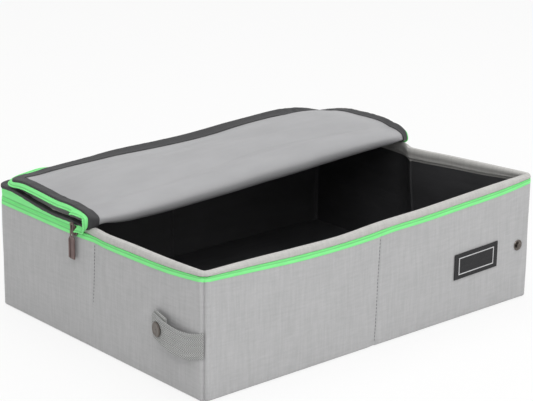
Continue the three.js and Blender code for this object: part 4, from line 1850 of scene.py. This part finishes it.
@dataclass(frozen=True)
class Studio:
    """Camera, floor and soft plain light, in metres."""

    place: Triple = (-1.06108, -1.21161, 0.61121)
    target: Triple = (-0.00165, 0.00113, 0.09840)
    roll: float = 0.011
    lens: float = 122.09
    fill: float = 0.62
    fill_tint: tuple[float, ...] = (1.0, 0.995, 0.985, 1.0)
    half_floor: float = 6.0
    floor_drop: float = 0.0004
    floor_grey: float = 0.86
    floor_rough: float = 0.9
    floor_glow: float = 0.8
    lamps: tuple[Lamp, Lamp, Lamp] = (
        Lamp("key", (-0.9, -1.5, 1.9), 1.6, 22.0),
        Lamp("fill", (1.6, -1.3, 1.3), 1.6, 9.0),
        Lamp("top", (0.1, 0.3, 2.2), 1.8, 12.0),
    )

    def camera(self) -> None:
        """Set the camera at the photograph's angle."""
        data = bpy.data.cameras.new("camera")
        data.lens = self.lens
        data.sensor_width = 36.0
        data.clip_end = 50.0
        made = bpy.data.objects.new("camera", data)
        bpy.context.scene.collection.objects.link(made)
        made.location = self.place
        aim = (Vector(self.target) - Vector(self.place)).to_track_quat("-Z", "Y")
        made.rotation_euler = (aim @ Quaternion((0, 0, 1), self.roll)).to_euler()
        bpy.context.scene.camera = made

    def seen(self, tree: bpy.types.NodeTree) -> Socket:
        """Find where the camera looks, directly or by gloss or glass.

        Args:
            tree: The nodes to add to.

        Returns:
            1 there and 0 elsewhere.
        """
        path = tree.nodes.new("ShaderNodeLightPath")
        total = path.outputs["Is Camera Ray"]
        for other in ("Is Glossy Ray", "Is Transmission Ray"):
            largest = tree.nodes.new("ShaderNodeMath")
            largest.operation = "MAXIMUM"
            tree.links.new(total, largest.inputs[0])
            tree.links.new(path.outputs[other], largest.inputs[1])
            total = largest.outputs[0]
        return total

    def mix(self, tree: bpy.types.NodeTree, share: Socket, first: bpy.types.Node,
            second: bpy.types.Node, out: bpy.types.Node) -> None:
        """Wire two shaders to an output.

        Args:
            tree: Their nodes.
            share: Share of the second one.
            first: The first shader.
            second: The second shader.
            out: The output node.
        """
        mix = tree.nodes.new("ShaderNodeMixShader")
        for i, socket in enumerate((share, first.outputs[0], second.outputs[0])):
            tree.links.new(socket, mix.inputs[i])
        tree.links.new(mix.outputs[0], out.inputs[0])

    def world(self) -> None:
        """Even pale surround, plain white where the camera or a gloss looks at it."""
        world = bpy.data.worlds.new("surround")
        world.use_nodes = True
        tree = world.node_tree
        tree.nodes.clear()
        out = tree.nodes.new("ShaderNodeOutputWorld")
        fill, white = tree.nodes.new("ShaderNodeBackground"), tree.nodes.new("ShaderNodeBackground")
        fill.inputs["Color"].default_value = self.fill_tint
        fill.inputs["Strength"].default_value = self.fill
        white.inputs["Color"].default_value = (1, 1, 1, 1)
        white.inputs["Strength"].default_value = 1.0
        self.mix(tree, self.seen(tree), fill, white, out)
        bpy.context.scene.world = world

    def ground(self) -> None:
        """Plain pale floor that keeps the box's shadow."""
        mesh = bpy.data.meshes.new("studio_floor")
        far = self.half_floor
        corners = [(-far, -far, 0), (far, -far, 0), (far, far, 0), (-far, far, 0)]
        mesh.from_pydata(corners, [], [(0, 1, 2, 3)])
        made = bpy.data.objects.new("studio_floor", mesh)
        made.location.z = -self.floor_drop
        bpy.context.scene.collection.objects.link(made)
        material = bpy.data.materials.new("studio_floor")
        material.use_nodes = True
        tree = material.node_tree
        shader = tree.nodes["Principled BSDF"]
        shader.inputs["Base Color"].default_value = (self.floor_grey, self.floor_grey, self.floor_grey, 1)
        shader.inputs["Roughness"].default_value = self.floor_rough
        glow = tree.nodes.new("ShaderNodeEmission")
        glow.inputs["Color"].default_value = (1, 1, 1, 1)
        glow.inputs["Strength"].default_value = 1.0
        share = tree.nodes.new("ShaderNodeMath")
        share.operation = "MULTIPLY"
        share.inputs[1].default_value = self.floor_glow
        tree.links.new(self.seen(tree), share.inputs[0])
        self.mix(tree, share.outputs[0], shader, glow, tree.nodes["Material Output"])
        mesh.materials.append(material)

    def build(self) -> None:
        """Set up everything round the box."""
        self.camera()
        self.world()
        self.ground()
        for lamp in self.lamps:
            lamp.build()
        bpy.context.scene.view_settings.view_transform = "Standard"
        LOG.info("studio")


# Fittings


@dataclass(frozen=True)
class Strap:
    """Snap strap sewn into the front left corner: soft webbing doubled at its tip, and its snap."""

    root: float = -7.0
    root_radius: float = 9.2
    start: Pair = (-201.2, -142.0)
    length: float = 53.5
    full: float = 56.0
    low: float = 40.2
    high: float = 62.8
    thick: float = 1.3
    tip_radius: float = 7.5
    tip_round: float = 0.35
    bow: float = 5.0
    lean: float = 3.0
    selvedge: float = 0.35
    twist: float = 0.5
    fold_start: float = 34.0
    fold_shift: Pair = (2.5, 2.6)
    fold_short: float = 0.6
    gap: float = 0.4
    sag: Knots = (
        (-12, -1.0), (-4, -2.0), (0, -3.0), (6, -4.4), (14, -4.6), (24, -3.8), (34, -1.8), (44, 0.4),
        (50, 1.4), (56, 1.6))
    cap_share: float = 0.8
    cap_height: float = 51.5
    cap: Knots = (
        (0.05, 0.0), (6.2, 0.0), (6.7, 0.5), (6.7, 1.1), (6.3, 1.6), (5.4, 1.85), (4.9, 1.7), (2.5, 1.85),
        (0.05, 1.9))
    socket: Knots = (
        (0.05, -0.4), (4.8, -0.4), (5.0, 0.1), (4.7, 0.8), (3.9, 1.2), (2.9, 1.1), (2.5, 0.2), (0.05, 0.1))

    def path(self, run: Array) -> tuple[Array, Array]:
        """Follow the strap in plan.

        Args:
            run: Distances from where it leaves the corner, negative round the corner.

        Returns:
            Points and outward directions.
        """
        share = np.clip(run / self.full, 0, 1)
        x, y = self.start
        away = self.bow * np.sin(math.pi * share)
        straight = np.stack((x - away - self.lean * share, y + self.full * share), -1)
        angle = math.pi + np.clip(-run / self.root_radius, 0, math.pi / 4)
        centre = np.array((-HALF_X + CORNER, -HALF_Y + CORNER))
        turn = centre + self.root_radius * np.stack((np.cos(angle), np.sin(angle)), -1)
        points = np.where((run < 0)[..., None], turn, straight)
        slope = (self.bow * math.pi * np.cos(math.pi * share) + self.lean) / self.full
        free = unit(np.stack((-1 + 0 * slope, -slope), -1))
        return points, np.where((run < 0)[..., None], unit(turn - centre), free)

    def ribbon(self, start: float, end: float, low: float, high: float, off: float) -> Cloth:
        """One layer of webbing.

        Args:
            start: Where it begins along the path.
            end: Where it ends.
            low: Height of its lower edge.
            high: Height of its upper edge.
            off: Distance of its middle from the path, outwards.

        Returns:
            The layer.
        """
        t = np.linspace(0, 1, 19)[None, :]
        v = t * (high - low)
        near = np.minimum(v, high - low - v)
        inside = self.tip_radius - np.minimum(near, self.tip_radius)
        short = self.tip_radius - np.sqrt(np.clip(self.tip_radius**2 - inside**2, 0, None))
        run = start + (end - self.tip_round * short - start) * np.linspace(0, 1, 54)[:, None]
        points, out = self.path(run)
        z = low + v + spline(run, self.sag)
        thicker = 1 + self.selvedge * bump((near - 1.0) / 0.7) + 0 * run
        twist = self.twist * np.sin(run / 9.0 + t * 2.0) * smooth(run / 12.0)
        place = np.concatenate((points + out * (off + twist)[..., None], z[..., None]), -1)
        flat = np.concatenate((out, 0 * z[..., None]), -1)
        half = (self.thick / 2 * thicker)[..., None]
        return Cloth().slab(place + flat * half, place - flat * half, stacked(run, v, 0.0))

    def build(self) -> None:
        """Make the webbing, the snap's outer cap and its socket."""
        cloth = self.ribbon(self.root, self.length, self.low, self.high, 0.0)
        up_low, up_high = self.fold_shift
        under = self.ribbon(self.fold_start, self.length - self.fold_short, self.low + up_low,
                            self.high + up_high, -self.thick - self.gap)
        webbing = on(cloth.build("strap_webbing_cloth", WEBBING), "strap", "strap_webbing")
        doubled = on(under.build("strap_webbing_fold_cloth", WEBBING), "strap")
        points, outs = self.path(np.array([self.full * self.cap_share]))
        point, out = points[0], outs[0]
        cap = Cloth().lathe((*(point + out * self.gap), self.cap_height), (*out, 0.0), self.cap)
        on(cap.build("strap_snap_cap_metal", SNAP), "strap", "strap_snap_cap")
        back = point - out * (1.5 * self.thick + self.gap)
        socket = Cloth().lathe((*back, self.cap_height), (*-out, 0.0), self.socket)
        on(socket.build("strap_snap_socket_metal", SNAP), "strap", "strap_snap_socket")
        LOG.info("strap")


@dataclass(frozen=True)
class ZipPull:
    """One zip slider with its hanging pull, on the left or right end wall.

    The tab is given by its half width and the heights of its top and foot. A depth is a distance out from
    the box's middle, along X.
    """

    side: int
    place_y: float = 28.6
    axis_x: float = 203.1
    axis_z: float = 110.5
    tab: Triple = (4.2, 99.6, 78.2)
    shield: Knots = (
        (-5, -3.2), (-3.4, -4.6), (3.4, -4.6), (5, -3.2), (4.6, 1.6), (2.6, 4.4), (-2.6, 4.4), (-4.6, 1.6))
    shield_depth: Pair = (200.5, 202.0)
    crown_size: float = 0.62
    crown_depth: Pair = (201.8, 202.6)
    bail_foot: float = 201.9
    bail_half: Pair = (2.9, 3.1)
    bail_radius: float = 0.65
    loop_half: Pair = (1.7, 1.9)
    loop_radius: float = 0.6
    step: float = 0.6
    neck: float = 2.6
    rim: float = 0.9

    def at(self, x: float, y: float, z: float) -> Array:
        """Point at a distance out along X, with y measured from the slider's middle."""
        return np.array((self.side * x, self.place_y + y, z))

    def out(self) -> Array:
        """Direction out of the box."""
        return np.array((float(self.side), 0.0, 0.0))

    def slider(self) -> Cloth:
        """Shield-shaped body of the slider with its bail.

        Returns:
            The gathered body.
        """
        end, y = np.array(self.side * HALF_X), np.array(self.place_y)
        middle = self.axis_z + float(DRAPE.low(end, y))
        shield, origin, out = np.array(self.shield), self.at(0, 0, middle), self.out()
        body = Cloth().plate(shield, origin, out, self.shield_depth, 0.45)
        body.plate(shield * self.crown_size, origin, out, self.crown_depth, 0.3)
        leg, bar = self.bail_half
        for y in (-leg, leg):
            foot, top = self.at(self.bail_foot, y, middle + 2.0), self.at(self.axis_x, y, self.axis_z)
            body.capsule(foot, top, self.bail_radius, UP, 1.0)
        start, end = self.at(self.axis_x, -bar, self.axis_z), self.at(self.axis_x, bar, self.axis_z)
        return body.capsule(start, end, self.bail_radius, UP, 1.0)

    def pull(self) -> Cloth:
        """Hanging pull: its loop round the bail, and its tab with two raised rails.

        Returns:
            The gathered pull.
        """
        half, top, foot = self.tab
        x, out = self.axis_x + 0.1, self.out()
        pull = Cloth()
        leg, bar = self.loop_half
        for y in (-leg, leg):
            start, end = self.at(x, y, self.axis_z + 1.5), self.at(x + self.step, y, top - 1.0)
            pull.capsule(start, end, self.loop_radius, out, 1.0)
        for depth, z in ((x, self.axis_z + 1.3), (x + self.step, top - 0.8)):
            pull.capsule(self.at(depth, -bar, z), self.at(depth, bar, z), self.loop_radius, out, 1.0)
        outline = np.array(((-self.neck, top), (-half, top - 2.2), (-half - 0.1, foot + 1.2),
                            (-half + 1.0, foot), (half - 1.0, foot), (half + 0.1, foot + 1.2),
                            (half, top - 2.2), (self.neck, top)))
        origin = self.at(0, 0, 0)
        pull.plate(outline, origin, out, (x - 0.3, x + 0.9), 0.4)
        low, high = foot + 1.0, top - 3.0
        for y in (-half + 1.1, half - 1.1):
            left, right = y - self.rim, y + self.rim
            rail = np.array(((left, low), (right, low), (right, high), (left, high)))
            pull.plate(rail, origin, out, (x + 0.6, x + 1.6), 0.35)
        return pull

    def build(self) -> None:
        """Make the slider's body with its bail, and the pull."""
        name = "left" if self.side < 0 else "right"
        slider = self.slider().build(f"{name}_zip_slider_metal", GUNMETAL)
        on(slider, f"slider_{name}", f"{name}_zip_slider")
        pull = self.pull().build(f"{name}_zip_pull_metal", GUNMETAL)
        on(pull, f"pull_{name}", f"{name}_zip_pull")
        LOG.info("zip slider and pull: %s", name)


@dataclass(frozen=True)
class FrontFittings:
    """Bare woven patch with a pale border line, and the snap stud, both on the front wall."""

    patch_x: Pair = (94.0, 152.0)
    patch_z: Pair = (39.5, 63.5)
    patch_off: Pair = (0.35, 1.15)
    inset: Pair = (5.4, 3.9)
    line: float = 0.85
    line_off: Pair = (1.05, 1.3)
    cell: float = 3.0
    stud_x: float = 182.0
    stud_z: float = 51.5
    stud_sink: float = 0.1
    stud: Knots = (
        (0.05, 0.0), (5.1, 0.0), (5.3, 0.5), (4.9, 1.0), (4.3, 1.0), (3.5, 0.45), (2.1, 0.4), (2.1, 1.2),
        (2.9, 1.9), (3.0, 2.4), (2.4, 2.9), (0.05, 3.0))

    def sheet(self, x: Pair, z: Pair, off: Pair) -> Cloth:
        """A flat piece of cloth on the front wall.

        Args:
            x: Its two ends.
            z: Its foot and top.
            off: Distances of its back and face off the wall.

        Returns:
            The gathered piece.
        """
        at_x = np.linspace(*x, max(2, int((x[1] - x[0]) / self.cell) + 1))[None, :]
        at_z = np.linspace(*z, max(2, int((z[1] - z[0]) / self.cell) + 1))[:, None]
        back, face = (DRAPE.hang(stacked(at_x, -HALF_Y - d, at_z)) for d in off)
        return Cloth().slab(face, back, stacked(at_x, at_z, 0.0))

    def build(self) -> None:
        """Make the patch, its border line and the stud."""
        patch = self.sheet(self.patch_x, self.patch_z, self.patch_off)
        patch = on(patch.build("front_label_patch_cloth", PATCH), "front", "front_label_patch")
        in_x, in_z = self.inset
        left, right = self.patch_x[0] + in_x, self.patch_x[1] - in_x
        low, high = self.patch_z[0] + in_z, self.patch_z[1] - in_z
        w = self.line
        border = Cloth()
        for x, z in (((left, right), (low, low + w)), ((left, right), (high - w, high)),
                     ((left, left + w), (low + w, high - w)), ((right - w, right), (low + w, high - w))):
            border.join(self.sheet(x, z, self.line_off))
        line = on(border.build("front_label_patch_border", PATCH_LINE), "front")
        foot = DRAPE.hang(np.array((self.stud_x, -HALF_Y - self.stud_sink, self.stud_z)))
        stud = Cloth().lathe(foot, (0, -1, 0), self.stud).build("front_snap_stud_metal", SNAP)
        on(stud, "front", "front_snap_stud")
        LOG.info("patch and stud")


def main() -> None:
    """Build the box, piece by piece."""
    logging.basicConfig(level=logging.INFO, format="%(message)s")
    Studio().build()
    Walls().build()
    Floor().build()
    Lid().build()
    Strap().build()
    for side in (-1, 1):
        ZipPull(side).build()
    FrontFittings().build()


if __name__ == "__main__":
    main()
